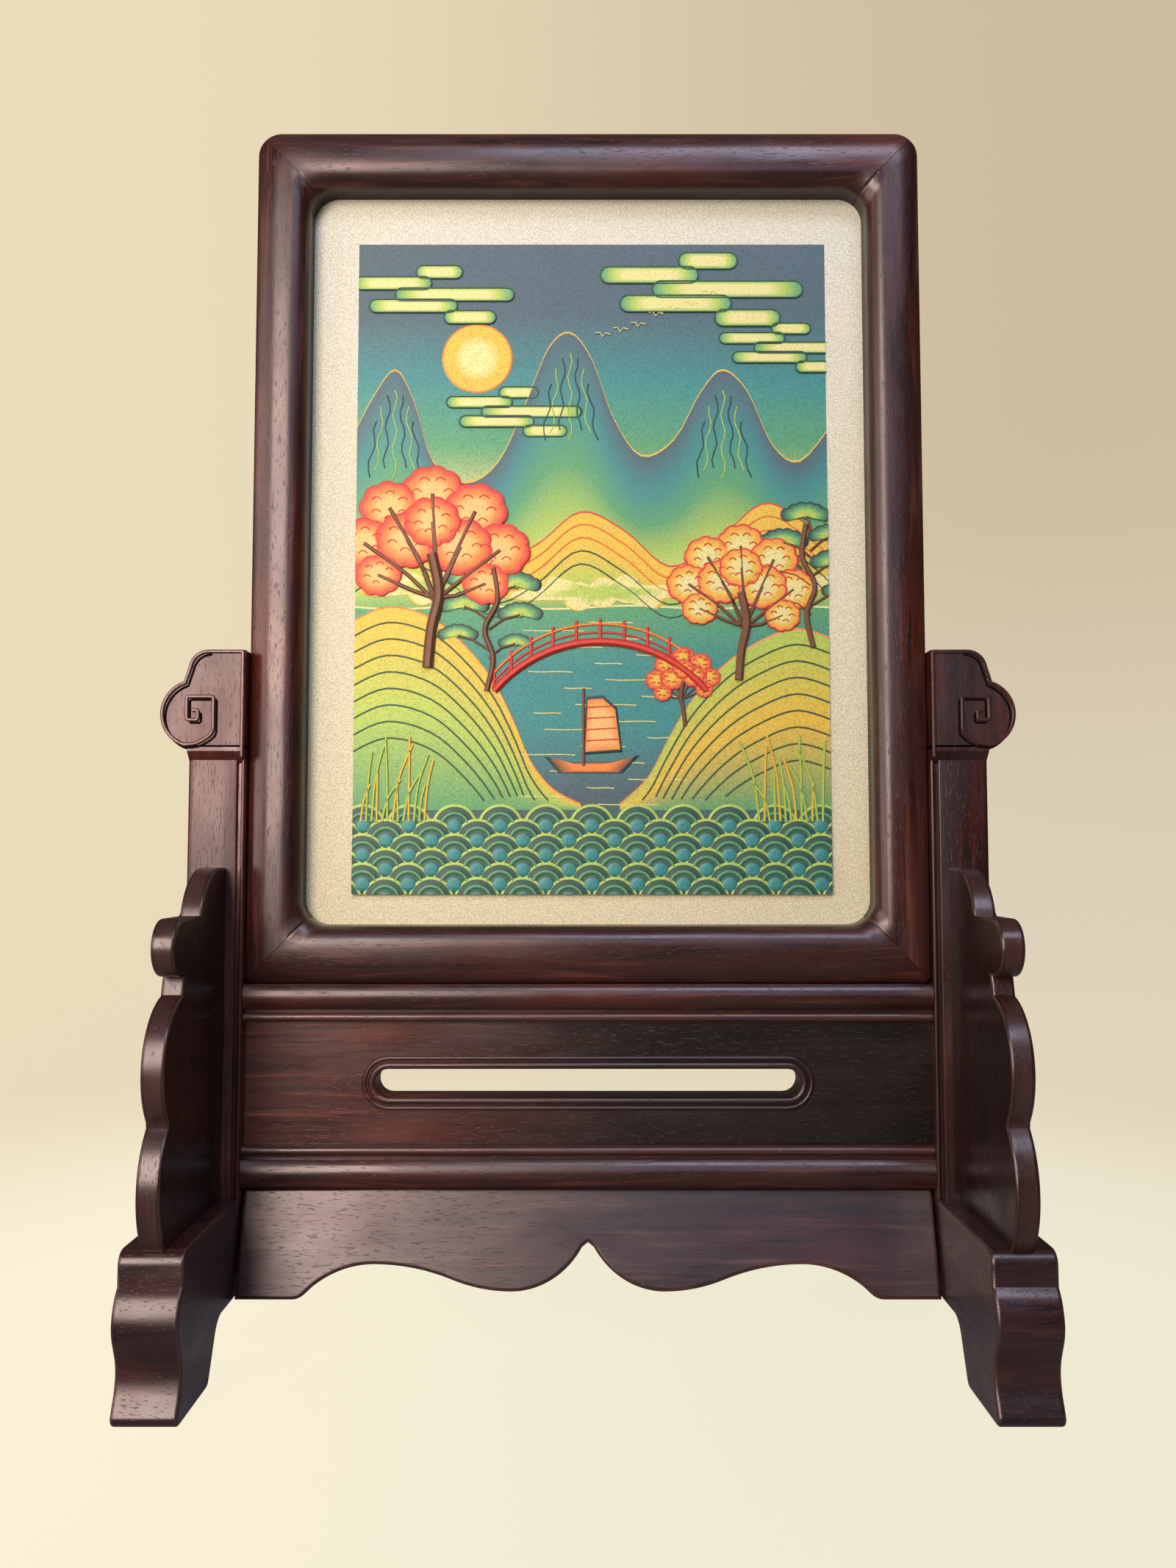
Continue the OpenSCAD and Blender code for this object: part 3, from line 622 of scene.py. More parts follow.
def backing_wood():
    """Oiled plain board: mid-brown, open straight grain without wax."""
    material, tree, shader, place = new_material("oiled_backing_board")
    width = 3.571 * MM
    length = 166.7 * MM
    mapped = add(tree, "ShaderNodeMapping", {"Vector": place, "Scale": (1 / width, 1 / width, 1 / length)})
    bands = add(tree, "ShaderNodeTexNoise", {
        "Vector": mapped, "Scale": 1.0, "Detail": 4.0, "Roughness": 0.6})
    tone = add(tree, "ShaderNodeValToRGB", {"Fac": bands}, stops=[
        (0.28, to_linear("#4a2c1c")), (0.5, to_linear("#6e4a31")), (0.74, to_linear("#8a6243"))])
    relief = add(tree, "ShaderNodeBump", {"Strength": 0.5, "Distance": 0.1 * MM, "Height": bands})
    feed(tree, shader, {"Base Color": tone, "Normal": relief, "Roughness": 0.62})
    return material


def screw_steel():
    """Turned and plated steel: grey, finely brushed, with small dull spots."""
    material, tree, shader, place = new_material("plated_screw_steel")
    spot_width = 0.625 * MM
    spots = add(tree, "ShaderNodeTexNoise", {"Vector": place, "Scale": 1 / spot_width, "Detail": 3.0})
    tone = add(tree, "ShaderNodeValToRGB", {"Fac": spots}, stops=[
        (0.35, to_linear("#8d8a84")), (0.65, to_linear("#b9b6af"))])
    rough = add(tree, "ShaderNodeMapRange", {"Value": spots, "To Min": 0.5, "To Max": 0.28})
    feed(tree, shader, {"Base Color": tone, "Roughness": rough, "Metallic": 1.0})
    return material


# Settings that a user would change

def colour_setting(name, description, code):
    """A colour setting with an sRGB hex default."""
    return bpy.props.FloatVectorProperty(
        name=name, description=description, size=4, subtype="COLOR", min=0.0, max=1.0,
        default=to_linear(code))


def length_setting(name, description, millimetres):
    """A length setting with a default in millimetres."""
    return bpy.props.FloatProperty(
        name=name, description=description, unit="LENGTH", min=0.0, precision=5, default=millimetres * MM)


def power_setting(name, description, watts):
    """A lamp power with a default in watts."""
    return bpy.props.FloatProperty(name=name, description=description, unit="POWER", min=0.0, default=watts)


class WoodSettings(bpy.types.PropertyGroup):
    """The waxed rosewood and its edges."""

    ground: colour_setting("Ground", "Colour of most of the wood", "#2a1411")
    dark: colour_setting("Dark bands", "Colour of the dark bands, veins and pores", "#110808")
    pale: colour_setting("Pale bands", "Colour of the palest bands", "#4b2d24")
    red: colour_setting("Red zones", "Colour that the reddish zones lean to", "#5a271c")
    # This colour also paints the shade beside the heads' raised lines and on the frame's inner wall
    wax_and_shade: colour_setting("Wax", "Dark wax left in the carving", "#0a0505")
    # This colour also paints the highlight on the rails' beads and the spandrels' front edges
    rubbed_and_highlit: colour_setting("Rubbed edges", "Colour of edges rubbed by hands", "#5a3e38")
    roughness: bpy.props.FloatProperty(
        name="Roughness", description="Dullness of the wax", subtype="FACTOR", min=0.1, max=0.9, default=0.28)
    band_width: length_setting("Band width", "Width of the dark and pale bands", 2.6)
    pore_width: length_setting("Pore width", "Width of the pores, drawn wide enough to show", 0.42)
    board_edge: length_setting("Board edge", "Rounding along the edges of the feet and spandrels", 1.0)
    apron_edge: length_setting("Apron edge", "Rounding along the edges of the aprons", 1.3)
    head_edge: length_setting("Head edge", "Rounding along the edges of the post heads", 0.35)
    line_radius: length_setting("Head line", "Radius of the eight-sided line on the post heads", 0.7)
    rim_radius: length_setting("Slot rim", "Radius of the round rim of the slot", 1.25)
    bead_radius: length_setting("Slot bead", "Radius of the thin line outside the rim", 0.8)


class PlateSettings(bpy.types.PropertyGroup):
    """The gold plate and its print."""

    gold: colour_setting("Gold", "Colour of the plate", "#c2c8b4")
    gold_light: colour_setting("Gold light", "Colour of the bright grain", "#d6dccb")
    gold_shade: colour_setting("Gold shade", "Colour between the grain", "#adaf98")
    # The plate is tinted warmer towards the bottom and cooler towards the top
    low_tint: colour_setting("Low tint", "Warmth of the anodising at the bottom of the plate", "#fffbe8")
    high_tint: colour_setting("High tint", "Warmth of the anodising at the top of the plate", "#fbfdff")
    grit: length_setting("Grit", "Width of the blasted grain, drawn wide enough to show", 0.5)


class InkSettings(bpy.types.PropertyGroup):
    """The colours of the printed picture."""

    slate: colour_setting("Slate", "High sky and far peaks", "#44606a")
    teal: colour_setting("Teal", "Low sky and the river", "#318786")
    jade: colour_setting("Jade", "Lower slopes and cloud edges", "#519c69")
    leaf: colour_setting("Leaf", "Needles, terraces and waves", "#2e5c4a")
    lime: colour_setting("Lime", "Sunlit slopes, clouds and reeds", "#a3c455")
    straw: colour_setting("Straw", "Mist, ripples and the hearts of clouds", "#d3d68c")
    gold: colour_setting("Ink gold", "Hills, crest lines and the sun", "#d4b840")
    orange: colour_setting("Orange", "Leaves, contours and the sail", "#e0873a")
    peach: colour_setting("Peach", "Hearts of the leaves", "#e6b76e")
    red: colour_setting("Red", "Lines round the leaves, and the bridge", "#c53d2e")
    night: colour_setting("Night", "Darkest lines", "#1f4340")
    bark: colour_setting("Bark", "Trunks and the boat", "#6d4a32")


class StageSettings(bpy.types.PropertyGroup):
    """The floor, the backdrop and the light."""

    floor: colour_setting("Floor", "Colour of the floor near the object", "#fdf3d8")
    floor_shade: colour_setting("Floor shade", "Colour of the floor to the right", "#f0ead3")
    backdrop: colour_setting("Backdrop", "Colour of the backdrop behind the object", "#ecddbc")
    backdrop_low: colour_setting("Backdrop low", "Colour of the backdrop's right, low down", "#ded3bb")
    backdrop_shade: colour_setting("Backdrop shade", "Colour of the backdrop's right, high up", "#cfbea0")
    gleam: colour_setting("Gleam", "Colour of the paper as the polish mirrors it", "#cfcde8")
    key_power: power_setting("Key light", "Power of the warm window behind the camera at the left", 13.5)
    wall_power: power_setting("Wall light", "Power of the bright wall at the left", 7.0)
    top_power: power_setting("Top light", "Power of the cool lamp above the camera", 7.0)
    fill_power: power_setting("Fill light", "Power of the weak glow behind the camera", 0.8)
    back_power: power_setting("Back light", "Power of the lamp behind at the right, for the back", 10.0)


# Pieces

def foot_outline():
    """The side of a foot, front half mirrored to the rear: arch, toe, bulge, crease, upright end and nose."""
    shoulder = arc((28.38, 9.7), 8.0, 90, 28, 8)
    heel = eased(shoulder[-1], (42.6, 0.0), (60.0, 0.0), 3.4)
    toe = eased((60.0, 0.0), (73.9, 0.0), (73.2, 4.0), 2.6)
    front = curve_through([
        (73.1, 3.6), (72.2, 5.8), (70.7, 9.0), (69.8, 13.5), (70.3, 17.6), (71.8, 21.2), (73.4, 24.8),
        (74.2, 28.5), (73.9, 31.6), (72.9, 34.8), (71.5, 37.4), (69.75, 39.5)], 4)
    nose = arc((65.1, 45.4), 4.6, 0, 90, 8)
    return mirrored(shoulder + heel + toe + front + nose)


def spandrel_outline():
    """The side of a spandrel: two swelling lobes, a knob and a finger against the post."""
    lower = arc((47.4, 16.4), 27.0, -39, 44.5, 18)
    middle = arc((49.4, 51.8), 23.0, -45.1, 74.6, 24)
    knob = arc((56.8, 88.8), 9.0, -90, 90, 20)
    finger = arc((17.5, 92.0), 21.5, 15.65, 90, 14)
    outline = [(8.5, -2.0), (65.5, -2.0), *lower, *middle[1:], (53.9, 79.8), *knob, (38.2, 97.8)]
    return outline + finger + [(8.5, 113.5)]


def post_section():
    """The plan of a post: lip and quirk at the inner edge, rounded outer corners, groove for the screen."""
    lip = arc((0.8, -10.2), 0.8, 180, 360, 8)
    quirk = [(1.6, -9.8), (2.8, -9.8)]
    shoulder = arc((3.3, -10.5), 0.5, 180, 270, 3)
    outer = arc((POST_W - 1.8, -POST_HALF + 1.8), 1.8, 270, 360, 6)
    front = lip + quirk + shoulder + outer
    back = [(u, -v) for u, v in reversed(front)]
    depth, half = GROOVE
    return front + back + [(0.0, half), (depth, half), (depth, -half), (0.0, -half)]


def head_outline():
    """The front of a post head: a lobe above a scroll, flat towards the screen."""
    scroll = arc((17.2, 12.0), 12.0, -90, 78.5, 30)
    lobe = arc((12.6, 27.5), 7.0, 0, 90, 12)
    groove = GROOVE[0]
    return [(0.0, 0.0), (groove, 0.0), *scroll, *lobe, (groove, HEAD_H), (0.0, HEAD_H)]


def head_line():
    """The raised line on a post head: up the inner edge, round the lobe and scroll, into a square spiral."""
    inner = eased_line([(0.65, -3.0), (0.65, 33.85), (12.6, 33.85)], 0.6)
    lobe = arc((12.6, 27.5), 6.35, 90, 8, 10)
    scroll = arc((17.2, 12.0), 11.35, 72, -78, 24)
    sweep = curve_through([(19.4, 1.3), (16.6, 1.7), (13.6, 3.2), (11.6, 4.8), (10.75, 6.4), (10.7, 8.4)], 4)
    spiral = eased_line([
        (10.7, 9.0), (10.7, 18.0), (20.0, 18.0), (20.0, 9.9), (16.1, 9.9), (16.1, 13.3), (18.0, 13.3)], 0.75)
    return [*inner[:-1], *lobe, *scroll[:-1], *sweep, *spiral]


def rail_section(height, crown_height):
    """The end of a rail: a crowned face, a quirk and a bead, the same front and back."""
    face, ledge, crown_rise, bead_radius = 11.0, 7.4, 2.0, 1.6
    half = crown_height / 2
    radius = (half ** 2 + crown_rise ** 2) / (2 * crown_rise)
    swing = math.degrees(math.asin(half / radius))
    crown = arc((face - radius, half), radius, -swing, swing, 16)
    bead = arc((ledge, height - bead_radius - HOLD), bead_radius, -90, 90, 12)
    return mirrored(crown + [(ledge, crown_height)] + bead + [(ledge, height)])


def apron_outline():
    """The front of an apron: a straight top, and two arches that meet in a cusp below."""
    low = APRON_Z[0]
    lobe = arc((26.0, low + 30.4), 28.0, 207.5, 270, 18)
    hang = arc((26.0, low + 61.4), 59.0, 270, 290.03, 8)[1:]
    rise = arc((73.0, low - 67.5), 78.2, 110.03, 90, 8)[1:]
    fall = arc((73.0, low - 23.3), 34.0, 90, 43.26, 14)[1:]
    foot = eased(fall[-4], fall[-1], (APRON_HALF, low), 6.0)
    half = lobe[1:] + hang + rise + fall[:-3] + foot + [(APRON_HALF, low), (APRON_HALF, APRON_Z[1])]
    cusp = (0.0, lobe[0][1])
    return [cusp] + mirrored(half)


def stadium(width, height, steps=12):
    """A round-ended outline about the middle of the panel."""
    radius = height / 2
    reach = width / 2 - radius
    return arc((reach, 0.0), radius, -90, 90, steps) + arc((-reach, 0.0), radius, 90, 270, steps)


def panel_mesh():
    """The panel with its slot: rings from the panel's edge in through the slot and out again."""
    wide, high = SLOT
    middle = sum(PANEL_Z) / 2
    top = (PANEL_Z[1] - PANEL_Z[0]) / 2
    reach = wide / 2 - high / 2
    corner = math.degrees(math.atan2(top, RAIL_HALF - reach))
    angles = [-90, -75, -60, -45, -corner, -11, 0, 11, corner, 45, 60, 75, 90]
    ends = [(side, a) for side, turn in ((1, angles), (-1, angles[::-1])) for a in turn]

    def round_slot(radius):
        return [(s * (reach + radius * math.cos(math.radians(a))), radius * math.sin(math.radians(a)))
                for s, a in ends]

    def to_edge():
        points = []
        for side, angle in ends:
            run, rise = math.cos(math.radians(angle)), math.sin(math.radians(angle))
            far = min((RAIL_HALF - reach) / max(run, 1e-9), top / max(abs(rise), 1e-9))
            points.append((side * (reach + far * run), far * rise))
        return points

    shell = Shell()
    soft = 0.7
    lip = [(round_slot(high / 2 + draw), PANEL_HALF - sink, wear_and_light) for draw, sink, wear_and_light in rounding(soft)]
    face = [(to_edge(), PANEL_HALF, 0.0), (round_slot(high / 2 + soft + HOLD), PANEL_HALF, 0.0), *lip]
    levels = [(points, -y, wear_and_light) for points, y, wear_and_light in face] + face[::-1]
    rings = [shell.ring([(x, y, middle + z) for x, z in points], wear_and_light) for points, y, wear_and_light in levels]
    shell.loft(rings, closed=True)
    return shell.mesh("panel")


def frame_section():
    """The frame moulding from the outer back to the inner back: (inset, y, corner radius, mark: paler above
    zero, painted shade below).

    The face is a broad round with a small easing at the outer edge, a flat crown and a steeper fall to the
    plate.
    """
    points = [(0.0, 8.2, 8.5, 0.5), (0.0, -6.97, 8.5, 0.0)]
    points += [(s, y, 8.3, 0.3) for s, y in arc((1.4, -6.97), 1.4, 195, 235, 3)]
    points += [(s, y, 8.0 - 0.37 * s, 0.0) for s, y in arc((9.78, 4.99), 16.0, -122, -94, 8)]
    points += [(s, y, 4.5 + 0.43 * (s - 9.6), 0.0) for s, y in arc((11.2, 24.94), 36.0, -92, -86, 3)]
    # Below zero, the fall is darkened a little and the inner wall much more: painted shade inside the rim of
    # the frame
    points += [(s, y, 6.2 + 0.43 * (s - 13.7), -0.05) for s, y in arc((13.23, -4.2), 6.79, -78, -8, 9)]
    points += [(20.0, -2.2, 9.0, -0.7), (20.0, PLATE_Y[0], 9.0, -0.8)]
    points += [(PLATE_REBATE, y, 0.6, 0.0) for y in PLATE_Y]
    points += [(BOARD_REBATE, y, 0.6, 0.0) for y in (BOARD_Y[0], 8.4)]
    return points + [(10.4, 9.0, 0.9, 0.6), (0.8, 9.0, 6.4, 0.6)]


def frame_bar(upright, side):
    """One mitred bar of the frame: the moulding swept from mitre to mitre round its half corners."""
    half_w, half_h = SCREEN_HALF
    section = frame_section()
    centre_s = sum(p[0] for p in section) / len(section)
    centre_y = sum(p[1] for p in section) / len(section)
    turns = [45, 46.2, 52, 60, 68, 76, 83, 90]
    stations = [(-1, a) for a in turns] + [(1, a) for a in reversed(turns)]
    low_bar = not upright and side < 0
    shell = Shell()
    rings = []
    for end, angle in stations:
        turn = math.radians(angle)
        points = []
        wear_and_light_marks = []
        low_corner = end < 0 if upright else side < 0
        for s, y, radius, wear_and_light in section:
            if low_corner:
                inward = (s - SHARP_SPAN[0]) / (SHARP_SPAN[1] - SHARP_SPAN[0])
                radius *= SHARP_SHARE + (1 - SHARP_SHARE) * min(max(inward, 0.0), 1.0)
            if angle == 45:
                s += MITRE_EASE[0] * (centre_s - s)
                y += MITRE_EASE[1] * (centre_y - y)
            # The stiles are narrower in their face, and as wide as the rails in the rebates behind it
            narrow = s * STILE_SHARE if y <= PLATE_Y[0] and s > PLATE_REBATE or y < 0.0 else s
            run, reach = (s, narrow) if upright else (narrow, s)
            along = (half_h if upright else half_w) - run - radius + radius * math.cos(turn)
            across = (half_w if upright else half_h) - reach - radius + radius * math.sin(turn)
            x, z = (side * across, end * along) if upright else (end * along, side * across)
            points.append((x, y, SCREEN_Z + z))
            # The bottom bar gets no painted shade, as its inner wall faces up into the light
            wear_and_light_marks.append(max(wear_and_light, 0.0) if low_bar else wear_and_light)
        ring = shell.ring(points)
        shell.wear_and_light[-len(wear_and_light_marks):] = wear_and_light_marks
        rings.append(ring)
    shell.loft(rings)
    return shell


def screw_mesh():
    """A countersunk screw, point forward along -y, with a cross recess in its head."""
    count = 24
    arm, width = 1.35, 0.36

    def circle(radius, y):
        return [(radius * math.cos(math.tau * i / count), y, radius * math.sin(math.tau * i / count))
                for i in range(count)]

    def cross(scale, y):
        points = []
        for i in range(count):
            a = math.tau * i / count
            run, rise = abs(math.cos(a)), abs(math.sin(a))
            reach = min(arm, width / max(min(run, rise), 1e-6) if min(run, rise) > 0.2 else arm)
            points.append((scale * reach * math.cos(a), y, scale * reach * math.sin(a)))
        return points

    shell = Shell()
    rings = [circle(0.25, -8.6), circle(1.0, -7.2), circle(1.1, -1.6), circle(2.2, -0.25), circle(2.3, -0.1)]
    rings += [circle(2.15, 0.05), cross(1.0, 0.12), cross(0.8, -0.75)]
    shell.loft([shell.ring(points) for points in rings])
    return shell.mesh("screw")


# The printed picture: x from the middle, z from the picture's lower edge, in millimetres

def toned(tones, share):
    """The colour at a share of the way through a row of tones."""
    place = min(max(share, 0.0), 1.0) * (len(tones) - 1)
    first = min(int(place), len(tones) - 2)
    part = place - first
    return tuple(a + (b - a) * part for a, b in zip(tones[first], tones[first + 1]))


def ridge(shell, crest, foot, relief, line, tones, rows=8):
    """A raised printed range: a line along its crest, and tones down to its foot."""
    face = PLATE_Y[0] - relief
    rings = []
    for x, top in crest:
        steps = [(top, PRINT_BACK, line), (top, face + 0.1, line), (top - 0.15, face, line),
                 (top - 0.7, face, line)]
        start = top - 0.75
        for share in (i / rows for i in range(rows + 1)):
            steps.append((start + (foot - start) * share, face, toned(tones, share)))
        steps.append((foot, PRINT_BACK, tones[-1]))
        points = [(x, y, PRINT_Z[0] + z) for z, y, _ in steps]
        rings.append(shell.ring(points, inks=[tuple(ink) for *_, ink in steps]))
    shell.loft(rings)


def motif(shell, outline, middle, relief, line, tones, keep, dome=0.12):
    """A raised printed shape: a line round its edge, and tones from there to its middle."""
    face = PLATE_Y[0] - relief
    count = len(tones)
    x, z = middle
    levels = [(1.0, PRINT_BACK, line), (1.0, face + 0.1, line), (0.985, face, line), (keep, face, line)]
    for i, tone in enumerate(tones):
        levels.append(((keep - 0.01) * (1 - 0.88 * i / count), face - dome * i / count, tone))
    rings = []
    for share, y, ink in levels:
        points = [(x + (u - x) * share, y, PRINT_Z[0] + z + (v - z) * share) for u, v in outline]
        rings.append(shell.ring(points, inks=[tuple(ink)] * len(points)))
    shell.loft(rings)


def lobed(middle, circles, steps):
    """The outer outline of overlapping circles, seen from a middle."""
    outline = []
    for i in range(steps):
        angle = math.tau * i / steps
        run, rise = math.cos(angle), math.sin(angle)
        reach = 1.0
        for x, z, radius in circles:
            dx, dz = x - middle[0], z - middle[1]
            along = dx * run + dz * rise
            off = dx * rise - dz * run
            if abs(off) < radius:
                reach = max(reach, along + math.sqrt(radius ** 2 - off ** 2))
        outline.append((middle[0] + reach * run, middle[1] + reach * rise))
    return outline


class TABLE_SCREEN_OT_feet(bpy.types.Operator):
    """The two shaped sledge feet."""

    bl_idname = "table_screen.feet"
    bl_label = "Feet"

    def execute(self, context):
        edge = context.scene.table_screen_wood.board_edge / MM
        for side, word in zip(SIDES, ("left", "right")):
            shell = Shell()
            slab(shell, foot_outline(), *FOOT_X, edge, lambda u, v, d: (side * d, -u, v))
            set_wood(f"{word}_foot", "carved", shell.mesh("foot"), "feet")
        return {"FINISHED"}


class TABLE_SCREEN_OT_posts(bpy.types.Operator):
    """The two posts with their scroll heads and the raised line on them."""

    bl_idname = "table_screen.posts"
    bl_label = "Posts"

    def execute(self, context):
        wood = context.scene.table_screen_wood
        material = rosewood("posts")
        # Dark lines shifted down and towards the screen from each raised line: wax in the groove, and painted
        # shade on that side of the line
        wax_and_shade_radius = 0.75
        wax_and_shade_shift = 1.1
        wax_and_shade_sink = 0.55
        wax_and_shade_start = 2.6
        slope = [(10.0, -5.0), (11.0, -4.0), (14.0, -1.0), (14.0, 1.0), (10.0, 1.0)]
        for side, word in zip(SIDES, ("left", "right")):
            shell = Shell()
            slab(shell, post_section(), FOOT_H, HEAD_Z + 1, 0, lambda u, v, d: (side * (POST_X + u), v, d))
            self.head(shell, side, wood.head_edge / MM)
            meshes = [shell.mesh("post")]
            for face in SIDES:
                wedge = Shell()
                slab(wedge, slope, POST_X, POST_X + POST_W - 0.4, 0,
                     lambda u, v, d: (side * d, face * u, HEAD_Z + v))
                line = [(side * (POST_X + u), face * (HEAD_HALF + LINE_PROUD), HEAD_Z + w)
                        for u, w in head_line()]
                wax_and_shade = [(side * (POST_X + u - wax_and_shade_shift), face * (HEAD_HALF - wax_and_shade_sink),
                        HEAD_Z + w - wax_and_shade_shift) for u, w in head_line() if u > wax_and_shade_start]
                meshes += [wedge.mesh("wedge"), raised_line(line, wood.line_radius / MM, material, sides=8),
                           raised_line(wax_and_shade, wax_and_shade_radius, material, sides=8, wear_and_light=WAXED_AND_SHADED)]
            post = set_wood(f"{word}_post", "carved", merge("post", meshes), "posts")
            self.blacken(post.data)
        return {"FINISHED"}

    def blacken(self, mesh):
        """Gives the lines that are marked for it the dark wax and painted shade."""
        mesh.materials.append(carving_wax_and_shade())
        marks = mesh.attributes["wear_and_light"].data
        for face in mesh.polygons:
            face.material_index = int(marks[face.vertices[0]].value < WAXED_AND_SHADED + 0.1)

    def head(self, shell, side, radius):
        """The head as rings from front to back, drawn in where the groove for the screen runs."""
        depth, half = GROOVE
        edge = [(radius + HOLD, 0.0, -0.2), *rounding(radius), (0.0, radius + HOLD, 0.0)]
        grooved = ((-half, False), (-half, True), (half, True), (half, False))
        levels = [(draw, -HEAD_HALF + sink, wear_and_light, False) for draw, sink, wear_and_light in edge]
        levels += [(0.0, y, 0.0, cut) for y, cut in grooved]
        levels += [(draw, HEAD_HALF - sink, wear_and_light, False) for draw, sink, wear_and_light in reversed(edge)]
        rings = []
        for draw, y, wear_and_light, cut in levels:
            points = inset(head_outline(), draw)
            if cut:
                points = [(max(u, depth), w) for u, w in points]
            rings.append(shell.ring([(side * (POST_X + u), y, HEAD_Z + w) for u, w in points], wear_and_light))
        shell.loft(rings)


class TABLE_SCREEN_OT_spandrels(bpy.types.Operator):
    """The four lobed spandrels that brace the posts on the feet."""

    bl_idname = "table_screen.spandrels"
    bl_label = "Spandrels"

    def execute(self, context):
        edge = context.scene.table_screen_wood.board_edge / MM
        for side, word in zip(SIDES, ("left", "right")):
            for face, end in zip(SIDES, ("front", "rear")):
                shell = Shell()
                # The front edges are painted paler: rubbing, and a painted sheen
                slab(shell, spandrel_outline(), *SPANDREL_X, edge,
                     lambda u, v, d: (side * d, face * u, FOOT_H + v), rim=0.9)
                set_wood(f"{end}_{word}_spandrel", "carved", shell.mesh("spandrel"), "boards")
        return {"FINISHED"}


class TABLE_SCREEN_OT_rails(bpy.types.Operator):
    """The two moulded rails between the posts."""

    bl_idname = "table_screen.rails"
    bl_label = "Rails"

    def execute(self, context):
        bead_y = 8.2
        for node, plain, beaded, crown in RAILS:
            rise = 1 if beaded > plain else -1
            shell = Shell()
            slab(shell, rail_section(abs(beaded - plain), crown), -RAIL_HALF, RAIL_HALF, 0,
                 lambda u, v, d: (d, u, plain + rise * v))
            # The beads are painted paler: rubbing, and a painted highlight
            shell.wear_and_light = [float(abs(y) > bead_y and abs(z - plain) > crown + 0.1) for _, y, z in shell.points]
            set_wood(node, "moulded", shell.mesh("rail"), "rails")
        return {"FINISHED"}


class TABLE_SCREEN_OT_panel(bpy.types.Operator):
    """The panel with its round-ended slot and the two raised lines round it."""

    bl_idname = "table_screen.panel"
    bl_label = "Slotted panel"

    def execute(self, context):
        wood = context.scene.table_screen_wood
        material = rosewood("panel")
        middle = sum(PANEL_Z) / 2
        rim_grow, bead_grow = 2.5, 7.5
        meshes = [panel_mesh()]
        for face in SIDES:
            for grow, radius in ((rim_grow, wood.rim_radius / MM), (bead_grow, wood.bead_radius / MM)):
                path = stadium(SLOT[0] + grow, SLOT[1] + grow, 16)
                line = [(x, face * (PANEL_HALF + LINE_PROUD), middle + z) for x, z in path]
                meshes.append(raised_line(line, radius, material, closed=True, sides=16))
        set_wood("slotted_panel", "beaded", merge("panel", meshes), "panel")
        return {"FINISHED"}


class TABLE_SCREEN_OT_aprons(bpy.types.Operator):
    """The two leaning aprons with their scalloped lower edges."""

    bl_idname = "table_screen.aprons"
    bl_label = "Aprons"

    def execute(self, context):
        edge = context.scene.table_screen_wood.apron_edge / MM
        low, high = APRON_Z
        for face, end in zip(SIDES, ("front", "rear")):
            shell = Shell()
            slab(shell, apron_outline(), APRON_Y, APRON_Y + APRON_T, edge,
                 lambda u, v, d: (u, face * (d + APRON_LEAN * (high - v) / (high - low)), v))
            set_wood(f"{end}_apron", "scalloped", shell.mesh("apron"), "aprons")
        return {"FINISHED"}


class TABLE_SCREEN_OT_frame(bpy.types.Operator):
    """The four mitred bars of the frame, with a tongue on each stile."""

    bl_idname = "table_screen.frame"
    bl_label = "Frame"

    def execute(self, context):
        for side, word in zip(SIDES, ("left", "right")):
            shell = frame_bar(True, side)
            tongue = rectangle((TONGUE_X[1] - TONGUE_X[0]) / 2, TONGUE_HALF)
            slab(shell, tongue, *TONGUE_Z, 0.4, lambda u, v, d: (side * (sum(TONGUE_X) / 2 + u), v, d))
            set_wood(f"frame_{word}_stile", "moulded", shell.mesh("stile"), "stiles", "screen")
        for side, word in zip(SIDES, ("bottom", "top")):
            set_wood(f"frame_{word}_rail", "moulded", frame_bar(False, side).mesh("rail"), "rails", "screen")
        return {"FINISHED"}


class TABLE_SCREEN_OT_plate(bpy.types.Operator):
    """The gold plate behind the printed picture."""

    bl_idname = "table_screen.plate"
    bl_label = "Picture plate"

    def execute(self, context):
        shell = Shell()
        slab(shell, rectangle(*PLATE_HALF), *PLATE_Y, 0.2, lambda u, v, d: (u, d, SCREEN_Z + v))
        set_piece("picture_plate_blasted", shell.mesh("plate"), "screen", "gold_plate", blasted_gold(),
                  "picture_plate")
        return {"FINISHED"}


